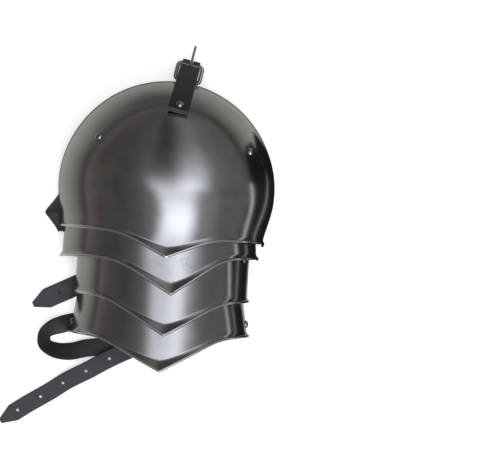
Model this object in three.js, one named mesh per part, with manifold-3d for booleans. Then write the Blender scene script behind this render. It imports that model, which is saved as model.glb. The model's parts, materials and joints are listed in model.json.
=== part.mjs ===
// A steel pauldron: a domed shoulder cop over three arm lames, with its leather straps.
// It lies on its open side with the crest up. Millimetres, +Z up, +Y towards the shoulder end.
// Every place below is measured from the centre of the cop's dome, which lies on the ground.
import * as THREE from 'three';
import Module from 'manifold-3d';

const wasm = await Module();
wasm.setup();

const DEGREES = Math.PI / 180;

// Steel sheet and the rims of the plates
const SHEET = 1.2;
const COP_RADIUS = 107;
const SKIRT_INSET = 9.5;
const SKIRT_RADIUS = COP_RADIUS - SKIRT_INSET;
const SKIRT_FALL = 62;
const FLARE_OUT = 2.6;
const FLARE_WIDTH = 6;
const VEE_SOFTNESS = 8;
const CORNER_REACH = 14;
const OVERLAP = 16;
const CREST_GAP = 2.6;

// The cop's side edges arch off the ground over the strap that passes below them
const ARCH_HEIGHT = 6.5;
const ARCH_START = 55;
const ARCH_FULL = 20;

// The rims of the plates and where each plate lies, as shares of the skirt's radius, with angles in degrees.
// A rim has a level side, a point that drops below it within a reach, and corners that dip.
const COP_SHARES = {
  name: 'cop', turn: 5.4,
  side: 0.4749, drop: 0.2123, veeReach: 0.4513, veeOffset: 0.0492, dip: 0.0287,
};

// From the cop down: step is from rim to rim, turn and sideways place each lame on the ground, sideGap is
// its clearance inside the plate above, and spread is what its half width gains down to the rim
const LAME_SHARES = [
  {
    name: 'lame_1', step: 0.2226, drop: 0.3456, veeReach: 0.5333, veeOffset: 0.1138, dip: 0.0154, turn: 1.3,
    sideways: -0.0759, sideGap: 0.0236, spread: 0.0205, edge: 0.0667, rivetAngle: 66, rivetDrop: 0.0821,
  },
  {
    name: 'lame_2', step: 0.4021, drop: 0.3364, veeReach: 0.5744, veeOffset: 0.0431, dip: 0.0062, turn: 3.8,
    sideways: -0.0605, sideGap: 0.1026, spread: 0.0082, edge: 0.0338, rivetAngle: 69, rivetDrop: 0.1333,
  },
  {
    name: 'lame_3', step: 0.3733, drop: 0.3128, veeReach: 0.5949, veeOffset: 0.0164, dip: 0.0226, turn: 2,
    sideways: -0.0821, sideGap: 0.0441, spread: 0.0759, edge: 0.0359, rivetAngle: 58, rivetDrop: 0.0821,
  },
];

// Leather, and the small clearance between pieces that rest on each other
const LEATHER = 2.2;
const REST_GAP = 0.3;
const WALL_GAP = 1;
const STRAP_WIDTH = 20;
const ARM_STRAP_WIDTH = 17.6;
const INNER_LEATHER_WIDTH = 18;
const TIP_LENGTH = 15;
const TIP_WIDTH = 5;
const PUNCH_RADIUS = 1.5;
const LAYER = LEATHER + REST_GAP;
const GROUND = LAYER / 2;

// Rivets
const SHANK_RADIUS = 1.6;
const SHANK_CLEARANCE = 0.3;
const HOLE_SPARE = 6;
const HEAD_RADIUS = 3.9;
const HEAD_HEIGHT = 2.4;
const LOW_HEAD_RADIUS = 3.2;
const LOW_HEAD_HEIGHT = 1.3;
const TAIL_RADIUS = 3;
const TAIL_HEIGHT = 0.8;
const COP_RIVET_ANGLE = 47.2;
const COP_RIVET_SHIFT = 3.2;
const COP_RIVET_RISE = 41.2;
const ARM_RIVET_ANGLE = 85;
const ARM_RIVET_RISE = 9;
const RIGHT_RIVET_LIFT = 3;
const ROOT_LENGTH = 8;

// The two wire buckles
const WIRE_RADIUS = 1.5;
const FRAME_INNER_WIDTH = 23;
const FRAME_LENGTH = 17;
const FRAME_CORNER = 4;
const TONGUE_RADIUS = 1.15;
const TONGUE_LENGTH = 19.8;
const TONGUE_TIP_RADIUS = 0.8;
const SLOT_CLEARANCE = 0.35;
const SLOT_REACH = 11;

// The buckle strap on top: its line over the dome, and where its rivet and its end lie on it
const CHAPE_TURN = 14.5;
const CHAPE_OFFSET = -7.9;
const CHAPE_SEAT = 0.5;
const CHAPE_RIVET_ANGLE = 46.1;
const CHAPE_END = 8.5;
const CHAPE_UNDER_END = 4;
const FRAME_TO_EDGE = 0.5;

// The side strap: how far its bend bulges beyond the cop's edge, and how far its tip stands out
const BULGE_OUT = 15;
const SIDE_TAIL_OUT = 41;
const SIDE_LAYER = 1.25;
const SIDE_FALL = new THREE.Vector3(-0.45, -0.5, -0.74);
const SIDE_HOLE_FROM_TIP = 29;

// The arm loop: the short strap's loop beside the lowest lame, its buckle, and the long punched tail
const LOOP_OUT = 27;
const LOOP_DOWN = 26.4;
const EDGE_CLEARANCE = 0.8;
const FOOT_RADIUS = 6;
const ARM_BUCKLE_IN = 12;
const ARM_BUCKLE_DOWN = 8.9;
const ARM_BUCKLE_TURN = 10;
const ARM_CHAPE_RETURN = 20;
const TAIL_OUT = 77;
const TAIL_DOWN = 86.5;
const TAIL_HOLES = 5;
const TAIL_HOLE_PITCH = 26;
const TAIL_FIRST_HOLE = 20;

const STEEL = { color: 0x8a8c90, roughness: 0.28, metalness: 1 };
const WIRE = { color: 0xb9bbbe, roughness: 0.25, metalness: 1 };
const BLACK_LEATHER = { color: 0x25272a, roughness: 0.6, metalness: 0 };

const pauldron = new THREE.Group();

// Solids

// Joins equal corners and leaves out the triangles that shrink to nothing at a pole
function weld(faces) {
  const seen = new Map();
  const positions = [];
  const index = [];
  for (const face of faces) {
    const corners = face.map((point) => {
      const key = point.toArray().map((value) => Math.round(value * 1e4)).join();
      if (!seen.has(key)) {
        seen.set(key, positions.length / 3);
        positions.push(...point.toArray());
      }
      return seen.get(key);
    });
    if (new Set(corners).size === 3) {
      index.push(...corners);
    }
  }
  const geometry = new THREE.BufferGeometry();
  geometry.setAttribute('position', new THREE.Float32BufferAttribute(positions, 3));
  geometry.setIndex(index);
  geometry.computeVertexNormals();
  return geometry;
}

function facesOf(geometry) {
  const flat = geometry.index ? geometry.toNonIndexed() : geometry;
  const position = flat.getAttribute('position');
  const faces = [];
  for (let first = 0; first < position.count; first += 3) {
    faces.push([0, 1, 2].map((corner) => new THREE.Vector3().fromBufferAttribute(position, first + corner)));
  }
  return faces;
}

function toSolid(geometry) {
  const welded = weld(facesOf(geometry));
  return new wasm.Manifold(new wasm.Mesh({
    numProp: 3,
    vertProperties: new Float32Array(welded.getAttribute('position').array),
    triVerts: new Uint32Array(welded.index.array),
  }));
}

function toGeometry(solid) {
  const { vertProperties, triVerts } = solid.getMesh();
  const geometry = new THREE.BufferGeometry();
  geometry.setAttribute('position', new THREE.BufferAttribute(vertProperties, 3));
  geometry.setIndex(new THREE.BufferAttribute(triVerts, 1));
  geometry.computeVertexNormals();
  return geometry;
}

function cut(geometry, tools) {
  return toGeometry(tools.reduce((solid, tool) => solid.subtract(toSolid(tool)), toSolid(geometry)));
}

// A closed sheet between two grids of points: rows run along it, columns run across it
function closedSheet(outer, inner) {
  const faces = [];
  const quad = (a, b, c, d) => faces.push([a, b, c], [a, c, d]);
  const lastRow = outer.length - 1;
  const lastColumn = outer[0].length - 1;
  for (let row = 0; row < lastRow; row += 1) {
    for (let column = 0; column < lastColumn; column += 1) {
      quad(outer[row][column], outer[row + 1][column], outer[row + 1][column + 1], outer[row][column + 1]);
      quad(inner[row][column], inner[row][column + 1], inner[row + 1][column + 1], inner[row + 1][column]);
    }
    quad(outer[row][0], inner[row][0], inner[row + 1][0], outer[row + 1][0]);
    quad(outer[row + 1][lastColumn], inner[row + 1][lastColumn], inner[row][lastColumn], outer[row][lastColumn]);
  }
  for (let column = 0; column < lastColumn; column += 1) {
    quad(outer[lastRow][column], inner[lastRow][column], inner[lastRow][column + 1], outer[lastRow][column + 1]);
    quad(outer[0][column + 1], inner[0][column + 1], inner[0][column], outer[0][column]);
  }
  return weld(faces);
}

// A round bar whose middle lies at a point, along a direction
function barAt(middle, direction, radius, length) {
  const bar = new THREE.CylinderGeometry(radius, radius, length, 8);
  bar.applyQuaternion(new THREE.Quaternion().setFromUnitVectors(new THREE.Vector3(0, 1, 0), direction));
  return bar.translate(middle.x, middle.y, middle.z);
}

function addMesh(name, geometry, finish) {
  const mesh = new THREE.Mesh(geometry, new THREE.MeshStandardMaterial(finish));
  mesh.name = name;
  pauldron.add(mesh);
  return mesh;
}

// Plates: each is a surface over an angle around the arm, -90 to 90 degrees, and a height along it

function sized({ name, turn, rivetAngle, ...shares }) {
  const lengths = Object.entries(shares).map(([key, share]) => [key, share * SKIRT_RADIUS]);
  return { name, turn, rivetAngle, ...Object.fromEntries(lengths) };
}

const COP = sized(COP_SHARES);

function softRamp(value) {
  return VEE_SOFTNESS * Math.log(1 + Math.exp(value / VEE_SOFTNESS));
}

// How far the rim has dropped at an angle: a point with straight sides that fade into the level side
function rimDrop(shape, angle, radius) {
  const fromPoint = Math.abs(angle * radius - shape.veeOffset);
  const fromCorner = (Math.PI / 2 - Math.abs(angle)) * radius;
  const vee = softRamp(shape.veeReach - fromPoint) / softRamp(shape.veeReach);
  const corner = Math.max(0, 1 - fromCorner / CORNER_REACH) ** 2;
  return shape.drop * vee + shape.dip * corner;
}

function makeCop() {
  const quarter = COP_RADIUS * Math.PI / 2;
  const halfWidth = (y) => {
    if (y >= 0) {
      return Math.sqrt(Math.max(0, COP_RADIUS ** 2 - y ** 2));
    }
    const fall = Math.min(1, -y / SKIRT_FALL);
    return SKIRT_RADIUS + (COP_RADIUS - SKIRT_RADIUS) * (1 + Math.cos(Math.PI * fall)) / 2;
  };
  const rim = (angle) => -COP.side - rimDrop(COP, angle, SKIRT_RADIUS);
  return {
    ...COP,
    place: new THREE.Matrix4().makeRotationZ(-COP.turn * DEGREES),
    rim,
    halfWidth,
    crest: halfWidth,
    edge: (y) => ARCH_HEIGHT * THREE.MathUtils.smoothstep(-y, -ARCH_START, -ARCH_FULL),
    heightAt: (share, angle) => {
      const along = share * (quarter - rim(angle) - FLARE_WIDTH);
      return along < quarter ? COP_RADIUS * Math.cos(along / COP_RADIUS) : quarter - along;
    },
    rows: 13,
  };
}

function makeLame(size, above, level) {
  const topLevel = size.step + OVERLAP;
  const topWidth = above.rimWidth - SHEET - size.sideGap;
  const topCrest = above.rimCrest - SHEET - CREST_GAP;
  const rimWidth = topWidth + size.spread;
  const downShare = (y) => THREE.MathUtils.clamp(1 - y / topLevel, 0, 1);
  const rim = (angle) => -rimDrop(size, angle, rimWidth);
  const top = (angle) => topLevel - rimDrop(above.shape, angle, rimWidth);
  return {
    ...size,
    shape: size,
    level,
    rimWidth,
    rimCrest: topCrest,
    place: new THREE.Matrix4().makeRotationZ(-size.turn * DEGREES).setPosition(size.sideways, level, 0),
    rim,
    top,
    halfWidth: (y) => topWidth + size.spread * downShare(y),
    crest: () => topCrest,
    edge: () => size.edge,
    heightAt: (share, angle) => THREE.MathUtils.lerp(top(angle), rim(angle) + FLARE_WIDTH, share),
    rows: 4,
  };
}

// The outer surface at an angle and a height, with the flare along the rim
function outerPoint(plate, angle, y) {
  const toRim = y - plate.rim(angle);
  const flare = FLARE_OUT * THREE.MathUtils.clamp(1 - toRim / FLARE_WIDTH, 0, 1) ** 2;
  const edge = plate.edge(y);
  return new THREE.Vector3(
    (plate.halfWidth(y) + flare) * Math.sin(angle),
    y,
    edge + (plate.crest(y) - edge + flare) * Math.cos(angle),
  );
}

function outerNormal(plate, angle, y) {
  const step = 1e-3;
  if (plate.halfWidth(y) < step) {
    return new THREE.Vector3(0, 1, 0);
  }
  const around = outerPoint(plate, angle + step, y).sub(outerPoint(plate, angle - step, y));
  const above = plate.halfWidth(y + step) > 0 ? y + step : y;
  const along = outerPoint(plate, angle, above).sub(outerPoint(plate, angle, y - step));
  return around.cross(along).normalize();
}

// A place on a plate, on the ground's own axes: depth is measured inwards from the outer surface
function spotOn(plate, angle, y, depth) {
  const normal = outerNormal(plate, angle, y);
  const point = outerPoint(plate, angle, y).addScaledVector(normal, -depth);
  return {
    point: point.applyMatrix4(plate.place),
    normal: normal.transformDirection(plate.place),
  };
}

function plateSheet(plate) {
  const columnsPerSide = 12;
  const flareRows = [0.55, 0];
  const pointAngle = plate.veeOffset / plate.halfWidth(plate.rim(0));
  const outer = [];
  const inner = [];
  for (let row = 0; row <= plate.rows + flareRows.length; row += 1) {
    const outerRow = [];
    const innerRow = [];
    for (let column = -columnsPerSide; column <= columnsPerSide; column += 1) {
      const side = column < 0 ? -Math.PI / 2 : Math.PI / 2;
      const angle = THREE.MathUtils.lerp(pointAngle, side, Math.abs(column) / columnsPerSide);
      const y = row <= plate.rows
        ? plate.heightAt(row / plate.rows, angle)
        : plate.rim(angle) + FLARE_WIDTH * flareRows[row - plate.rows - 1];
      const point = outerPoint(plate, angle, y);
      outerRow.push(point);
      innerRow.push(point.clone().addScaledVector(outerNormal(plate, angle, y), -SHEET));
    }
    outer.push(outerRow);
    inner.push(innerRow);
  }
  return closedSheet(outer, inner);
}

const cop = makeCop();
cop.shape = COP;
cop.rimWidth = SKIRT_RADIUS;
cop.rimCrest = SKIRT_RADIUS;
const lames = [];
let level = -COP.side;
for (const shares of LAME_SHARES) {
  const size = sized(shares);
  level -= size.step;
  lames.push(makeLame(size, lames.at(-1) ?? cop, level));
}
const lowest = lames.at(-1);

// Rivets

function rivetGeometry(above, below, headRadius, headHeight) {
  const profile = [
    [0, -below - REST_GAP - TAIL_HEIGHT],
    [TAIL_RADIUS, -below - REST_GAP - TAIL_HEIGHT],
    [TAIL_RADIUS, -below - REST_GAP],
    [SHANK_RADIUS, -below - REST_GAP],
    [SHANK_RADIUS, above + REST_GAP],
    [headRadius, above + REST_GAP],
    [headRadius * 0.87, above + REST_GAP + headHeight * 0.5],
    [headRadius * 0.5, above + REST_GAP + headHeight * 0.87],
    [0, above + REST_GAP + headHeight],
  ];
  return new THREE.LatheGeometry(profile.map(([radius, height]) => new THREE.Vector2(radius, height)), 10);
}

// A rivet through a place, with its hole for each piece that it joins
function addRivet(name, spot, above, below, low) {
  const headRadius = low ? LOW_HEAD_RADIUS : HEAD_RADIUS;
  const headHeight = low ? LOW_HEAD_HEIGHT : HEAD_HEIGHT;
  const mesh = addMesh(name, rivetGeometry(above, below, headRadius, headHeight), STEEL);
  mesh.position.copy(spot.point);
  mesh.quaternion.setFromUnitVectors(new THREE.Vector3(0, 1, 0), spot.normal);
  return barAt(spot.point, spot.normal, SHANK_RADIUS + SHANK_CLEARANCE, 2 * (above + below) + HOLE_SPARE);
}

// Straps: each is a row of sections, with a middle, half of its width as a vector, and a normal

function sectionsThrough(stations, perSpan) {
  const spine = new THREE.CatmullRomCurve3(stations.map((station) => station.middle));
  const width = new THREE.CatmullRomCurve3(stations.map((station) => station.half));
  const count = (stations.length - 1) * perSpan;
  return Array.from({ length: count + 1 }, (_, number) => {
    const half = width.getPoint(number / count).setLength(stations[0].half.length());
    const normal = spine.getTangent(number / count).cross(half).normalize();
    return { middle: spine.getPoint(number / count), half, normal };
  });
}

function between(first, second, share) {
  return Object.fromEntries(Object.keys(first).map((key) => [key, first[key].clone().lerp(second[key], share)]));
}

// The section at a distance from the strap's end, and the number of the section before it
function sectionFromEnd(sections, distance) {
  let left = distance;
  for (let number = sections.length - 1; number > 0; number -= 1) {
    const length = sections[number].middle.distanceTo(sections[number - 1].middle);
    if (left <= length) {
      return { before: number - 1, section: between(sections[number], sections[number - 1], left / length) };
    }
    left -= length;
  }
  return { before: 0, section: sections[0] };
}

// Narrows the end to a blunt point
function pointTip(sections) {
  const shoulder = sectionFromEnd(sections, TIP_LENGTH);
  const end = sections.at(-1);
  const tip = { ...end, half: end.half.clone().setLength(TIP_WIDTH / 2) };
  return [...sections.slice(0, shoulder.before + 1), shoulder.section, tip];
}

function strapSheet(sections) {
  const side = (sign) => sections.map(({ middle, half, normal }) => [-1, 1].map((edge) => (
    middle.clone().addScaledVector(half, edge).addScaledVector(normal, sign * LEATHER / 2))));
  return closedSheet(side(1), side(-1));
}

function punchAt(sections, fromTip) {
  const { section } = sectionFromEnd(sections, fromTip);
  return barAt(section.middle, section.normal, PUNCH_RADIUS, 3 * LEATHER);
}

// A station over the ground: heading is where the strap goes, lean lifts its outer edge, lift is what it
// lies on, and a strap that has been folded over has its width the other way round
function station(place, heading, width, { lean = 0, lift = 0, folded = 1 } = {}) {
  const half = new THREE.Vector3(-Math.sin(heading * DEGREES), Math.cos(heading * DEGREES), 0);
  half.multiplyScalar(Math.cos(lean * DEGREES));
  half.z = -Math.sin(lean * DEGREES);
  const rise = GROUND + width / 2 * Math.sin(lean * DEGREES) + lift;
  return {
    middle: new THREE.Vector3(place.x, place.y, rise),
    half: half.multiplyScalar(folded * width / 2),
  };
}

// The cop's rivets lie to the right of even, because the dome is turned
function copRivetAngle(side) {
  return (side * COP_RIVET_ANGLE + COP_RIVET_SHIFT) * DEGREES;
}

// The inner leathers, below the rivets of every plate on one side
function seatDepth(halfWidth, radius, layer) {
  const bow = halfWidth ** 2 / (2 * radius);
  return SHEET + bow + WALL_GAP + LEATHER / 2 + layer * LAYER;
}

function leatherStation(plate, angle, y) {
  const halfWidth = INNER_LEATHER_WIDTH / 2;
  const spot = spotOn(plate, angle, y, seatDepth(halfWidth, plate.halfWidth(y), 0));
  const ahead = spotOn(plate, angle, y - 1, 0).point.sub(spotOn(plate, angle, y + 1, 0).point);
  return { middle: spot.point, half: spot.normal.clone().cross(ahead).setLength(halfWidth) };
}

function leatherStations(side) {
  const copAngle = copRivetAngle(side);
  const stations = [ROOT_LENGTH, 0, -ROOT_LENGTH * 1.5].map((rise) => (
    leatherStation(cop, copAngle, COP_RIVET_RISE + rise)));
  for (const lame of lames) {
    const angle = side * lame.rivetAngle * DEGREES;
    const rivet = lame.top(angle) - lame.rivetDrop;
    stations.push(leatherStation(lame, angle, lame.top(angle) + TAIL_RADIUS));
    stations.push(leatherStation(lame, angle, rivet + TAIL_RADIUS));
    stations.push(leatherStation(lame, angle, rivet));
    stations.push(leatherStation(lame, angle, rivet - TAIL_RADIUS * 1.5));
  }
  const endAngle = side * lowest.rivetAngle * DEGREES;
  stations.push(leatherStation(lowest, endAngle, lowest.top(endAngle) - lowest.rivetDrop - ROOT_LENGTH));
  return stations;
}

const plateHoles = new Map([cop, ...lames].map((plate) => [plate, []]));

const copHoles = [];

function bowDepth(halfWidth, radius) {
  return seatDepth(halfWidth, radius, 0) + LEATHER / 2;
}

for (const [side, word] of [[-1, 'left'], [1, 'right']]) {
  const holes = [];
  const layers = side < 0 ? 1 : 0;
  const copSpot = spotOn(cop, copRivetAngle(side), COP_RIVET_RISE, 0);
  const copDepth = bowDepth(STRAP_WIDTH / 2, COP_RADIUS) + SIDE_LAYER * layers * LAYER;
  const copHole = addRivet(`cop_rivet_${word}`, copSpot, 0, copDepth, false);
  plateHoles.get(cop).push(copHole);
  copHoles.push(copHole);
  holes.push(copHole);
  for (const lame of lames) {
    const angle = side * lame.rivetAngle * DEGREES;
    const height = lame.top(angle) - lame.rivetDrop;
    const depth = bowDepth(INNER_LEATHER_WIDTH / 2, lame.halfWidth(height));
    const hole = addRivet(`${lame.name}_rivet_${word}`, spotOn(lame, angle, height, 0), 0, depth, true);
    plateHoles.get(lame).push(hole);
    holes.push(hole);
  }
  const sections = sectionsThrough(leatherStations(side), 2);
  addMesh(`leather_${word}`, cut(strapSheet(sections), holes), BLACK_LEATHER);
}

// The buckle strap on top: both layers lie in one upright plane over the dome

const chapeAlong = new THREE.Vector3(Math.sin(CHAPE_TURN * DEGREES), Math.cos(CHAPE_TURN * DEGREES), 0);
const chapeAcross = new THREE.Vector3(chapeAlong.y, -chapeAlong.x, 0);
const foldRadius = WIRE_RADIUS + REST_GAP + LEATHER / 2;
const eyeRadius = WIRE_RADIUS + REST_GAP + TONGUE_RADIUS;
const barHeight = eyeRadius + TONGUE_RADIUS + REST_GAP / 2;
const barReach = COP_RADIUS + FRAME_TO_EDGE + WIRE_RADIUS + FRAME_LENGTH;

function inChapePlane(along, height) {
  return chapeAcross.clone().multiplyScalar(CHAPE_OFFSET).addScaledVector(chapeAlong, along).setZ(height);
}

function arcSections(centreAlong, centreHeight, radius, from, to, steps, outward) {
  return Array.from({ length: steps + 1 }, (_, number) => {
    const angle = THREE.MathUtils.lerp(from, to, number / steps);
    const middle = inChapePlane(centreAlong + radius * Math.cos(angle), centreHeight + radius * Math.sin(angle));
    const normal = chapeAlong.clone().multiplyScalar(Math.cos(angle) * outward).setZ(Math.sin(angle) * outward);
    return { middle, half: chapeAcross.clone().multiplyScalar(-STRAP_WIDTH / 2), normal };
  });
}

const underRadius = COP_RADIUS + CHAPE_SEAT + LEATHER / 2;
const overRadius = underRadius + LEATHER + REST_GAP;
const barDistance = Math.hypot(barReach, barHeight);
const barAngle = Math.atan2(barHeight, barReach);
const overLeaves = barAngle + Math.acos((overRadius - foldRadius) / barDistance);
const underLeaves = barAngle + Math.acos((underRadius + foldRadius) / barDistance);
const rivetOnArc = CHAPE_RIVET_ANGLE * DEGREES;
const overEnd = rivetOnArc + CHAPE_END / overRadius;
const underEnd = overEnd + CHAPE_UNDER_END / underRadius;
const chapeSections = [
  ...arcSections(0, 0, overRadius, overEnd, overLeaves, 3, 1),
  ...arcSections(barReach, barHeight, foldRadius, overLeaves, underLeaves - Math.PI, 10, 1),
  ...arcSections(0, 0, underRadius, underLeaves, underEnd, 4, -1),
];
const chapeRivetSpot = {
  point: inChapePlane(COP_RADIUS * Math.cos(rivetOnArc), COP_RADIUS * Math.sin(rivetOnArc)),
  normal: chapeAlong.clone().multiplyScalar(Math.cos(rivetOnArc)).setZ(Math.sin(rivetOnArc)),
};
const chapeStack = CHAPE_SEAT + 2 * LEATHER + REST_GAP;
const chapeHole = addRivet('cop_rivet_top', chapeRivetSpot, chapeStack, 2 * SHEET, false);
plateHoles.get(cop).push(chapeHole);
const slotWidth = 2 * (TONGUE_RADIUS + SLOT_CLEARANCE);
const slot = new THREE.BoxGeometry(slotWidth, 2 * SLOT_REACH, 2 * SLOT_REACH);
slot.rotateZ(-CHAPE_TURN * DEGREES);
const barMiddle = inChapePlane(barReach, barHeight);
slot.translate(...barMiddle.toArray());
addMesh('shoulder_chape', cut(strapSheet(chapeSections), [chapeHole, slot]), BLACK_LEATHER);

// Wire buckles: the bar lies on the X axis and the frame reaches along +Y

function frameGeometry() {
  const half = FRAME_INNER_WIDTH / 2 + WIRE_RADIUS;
  const corners = [[-half, 0], [half, 0], [half, FRAME_LENGTH], [-half, FRAME_LENGTH]];
  const path = new THREE.CurvePath();
  const towards = (from, to) => {
    const start = new THREE.Vector3(...from, 0);
    return start.lerp(new THREE.Vector3(...to, 0), FRAME_CORNER / start.distanceTo(new THREE.Vector3(...to, 0)));
  };
  corners.forEach((corner, number) => {
    const before = corners.at(number - 1);
    const after = corners[(number + 1) % corners.length];
    path.add(new THREE.LineCurve3(towards(before, corner), towards(corner, before)));
    path.add(new THREE.QuadraticBezierCurve3(
      towards(corner, before), new THREE.Vector3(...corner, 0), towards(corner, after)));
  });
  return new THREE.TubeGeometry(path, 32, WIRE_RADIUS, 6, true);
}

function tongueGeometry(radius) {
  const eye = new THREE.TorusGeometry(radius, TONGUE_RADIUS, 6, 14).rotateY(Math.PI / 2);
  const pinLength = TONGUE_LENGTH - radius;
  const pin = new THREE.CylinderGeometry(TONGUE_TIP_RADIUS, TONGUE_RADIUS, pinLength, 8);
  pin.translate(0, radius + pinLength / 2, 0);
  return toGeometry(toSolid(eye).add(toSolid(pin)));
}

// Each buckle piece turns about its bar: angle 0 points outwards along the strap
function placeOnBar(mesh, angle) {
  mesh.rotation.set(angle, 0, 0);
  const holder = new THREE.Group();
  holder.rotation.z = -CHAPE_TURN * DEGREES;
  holder.position.copy(barMiddle);
  holder.add(mesh);
  pauldron.add(holder);
}

const farBarDrop = Math.asin((barHeight - WIRE_RADIUS - REST_GAP / 2) / FRAME_LENGTH);
placeOnBar(addMesh('shoulder_buckle_frame', frameGeometry(), WIRE), Math.PI + farBarDrop);
const tipDrop = Math.asin((barHeight - TONGUE_RADIUS - REST_GAP / 2) / TONGUE_LENGTH);
placeOnBar(addMesh('shoulder_buckle_tongue', tongueGeometry(eyeRadius), WIRE), -tipDrop);

// The side strap, from the cop's left rivet out below the edge, folded back in, and out again as a tip

function besidePlate(plate, x, y) {
  return new THREE.Vector2(plate.sideways + plate.rimWidth * x, plate.level + plate.step * y);
}

const copSide = { sideways: 0, level: 0, rimWidth: COP_RADIUS, step: COP_RADIUS };
const sideHalf = STRAP_WIDTH / 2;
const sideDepth = seatDepth(sideHalf, COP_RADIUS, SIDE_LAYER);
const sideRoot = spotOn(cop, copRivetAngle(-1), COP_RIVET_RISE, sideDepth);
const downhill = SIDE_FALL.clone().projectOnPlane(sideRoot.normal).normalize();
const bulge = -1 - BULGE_OUT / COP_RADIUS;
const tailEnd = -1 - SIDE_TAIL_OUT / lames[1].rimWidth;

// x and y are shares of the half width and the height of the plate beside it, lift is in layers of leather
const sideRoute = [
  { beside: copSide, x: -0.82, y: 0.08, heading: 226, lift: 5.4, lean: 24 },
  { beside: copSide, x: -0.9, y: -0.06, heading: 231, lift: 0.5, lean: 4 },
  { beside: copSide, x: -0.965, y: -0.155, heading: 235, lift: 0 },
  { beside: copSide, x: bulge + 0.09, y: -0.235, heading: 226, lift: 0.2 },
  { beside: copSide, x: bulge + 0.06, y: -0.28, heading: 205, lift: 0.95 },
  { beside: copSide, x: bulge + 0.1, y: -0.295, heading: 2, lift: 1.75, folded: -1 },
  { beside: copSide, x: -0.97, y: -0.3, heading: -6, lift: 1.3, folded: -1 },
  { beside: copSide, x: -0.88, y: -0.33, heading: -14, lift: 1, folded: -1 },
  { beside: copSide, x: -0.74, y: -0.395, heading: -20, lift: 0, folded: -1 },
  { beside: copSide, x: -0.49, y: -0.485, heading: -20, lift: 0, folded: -1 },
  { beside: copSide, x: -0.34, y: -0.545, heading: -18, lift: 0.05, folded: -1 },
  { beside: lames[1], x: -0.264, y: 1.13, heading: 180, lift: 0.85 },
  { beside: lames[1], x: -0.33, y: 0.98, heading: 196, lift: 1.65 },
  { beside: lames[1], x: -0.468, y: 0.82, heading: 203, lift: 1.05 },
  { beside: lames[1], x: -0.66, y: 0.61, heading: 204, lift: 0 },
  { beside: lames[1], x: -1.02, y: 0.25, heading: 204, lift: 0 },
  { beside: lames[1], x: tailEnd + 0.2, y: 0, heading: 204, lift: 0 },
  { beside: lames[1], x: tailEnd, y: -0.2, heading: 204, lift: 0 },
];
const sideStations = [
  ...[-ROOT_LENGTH, 0, ROOT_LENGTH].map((along) => ({
    middle: sideRoot.point.clone().addScaledVector(downhill, along)
      .addScaledVector(sideRoot.normal, -(along ** 2) / (2 * COP_RADIUS)),
    half: sideRoot.normal.clone().cross(downhill).setLength(sideHalf),
  })),
  ...sideRoute.map(({ beside, x, y, heading, lift, lean, folded }) => (
    station(besidePlate(beside, x, y), heading, STRAP_WIDTH, { lean, folded, lift: lift * LAYER }))),
];
const sideSections = pointTip(sectionsThrough(sideStations, 3));
const sideHoles = [copHoles[0], punchAt(sideSections, SIDE_HOLE_FROM_TIP)];
addMesh('side_strap', cut(strapSheet(sideSections), sideHoles), BLACK_LEATHER);

// The arm loop: a short strap from the lowest lame's left side to a buckle under the point, and a long
// punched strap from its right side through that buckle and out beside the first

const armHalf = ARM_STRAP_WIDTH / 2;

function armRivetRise(side) {
  return side < 0 ? ARM_RIVET_RISE : ARM_RIVET_RISE + RIGHT_RIVET_LIFT;
}

// Inside the wall of the lowest lame, from above its rivet down to near its edge
function wallStations(side, angles) {
  const rise = armRivetRise(side);
  return angles.map((degrees) => {
    const angle = side * degrees * DEGREES;
    const spot = spotOn(lowest, angle, rise, SHEET + WALL_GAP + LEATHER / 2);
    const surface = spotOn(lowest, angle, rise, 0);
    const below = spotOn(lowest, angle, rise - 1, 0);
    return { middle: spot.point, half: below.point.sub(surface.point).setLength(armHalf) };
  });
}

function armRivet(side, word) {
  const spot = spotOn(lowest, side * ARM_RIVET_ANGLE * DEGREES, armRivetRise(side), 0);
  const hole = addRivet(`arm_strap_rivet_${word}`, spot, 0, SHEET + WALL_GAP + LAYER, false);
  plateHoles.get(lowest).push(hole);
  return { hole, spot };
}

const leftRivet = armRivet(-1, 'left');
const rightRivet = armRivet(1, 'right');
const wallAngles = [75, 80, ARM_RIVET_ANGLE, 88];
const edgeMiddle = outerPoint(lowest, -Math.PI / 2, ARM_RIVET_RISE)
  .add(new THREE.Vector3(SHEET, 0, 0)).applyMatrix4(lowest.place);
const wrapRadius = LEATHER / 2 + EDGE_CLEARANCE;
const edgeHalf = outerPoint(lowest, -Math.PI / 2, ARM_RIVET_RISE - 1)
  .sub(outerPoint(lowest, -Math.PI / 2, ARM_RIVET_RISE))
  .transformDirection(lowest.place).setLength(armHalf);
const underEdge = [0, -35, -70].map((degrees) => ({
  middle: edgeMiddle.clone().add(new THREE.Vector3(
    wrapRadius * Math.cos(degrees * DEGREES), 0, wrapRadius * Math.sin(degrees * DEGREES))),
  half: edgeHalf,
}));

// out and down are shares of how far the loop reaches out beside its rivet and down below it
const loopRoute = [
  { out: 0.2, down: 0.06, heading: 182, lean: 0 },
  { out: 0.42, down: 0.12, heading: 190, lean: 12 },
  { out: 0.75, down: 0.24, heading: 208, lean: 32 },
  { out: 1, down: 0.46, heading: 243, lean: 50 },
  { out: 1, down: 0.8, heading: 294, lean: 50 },
  { out: 0.64, down: 1.05, heading: 336, lean: 38 },
  { out: 0.1, down: 1.12, heading: 358, lean: 20 },
  { out: -0.5, down: 1.01, heading: 366, lean: 4 },
  { out: -1.2, down: 0.95, heading: 370, lean: 0 },
];
const buckleAlong = new THREE.Vector3(
  Math.cos(ARM_BUCKLE_TURN * DEGREES), Math.sin(ARM_BUCKLE_TURN * DEGREES), 0);
const armBar = new THREE.Vector3(
  lowest.sideways - ARM_BUCKLE_IN, lowest.level - ARM_BUCKLE_DOWN, GROUND + foldRadius);

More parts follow.
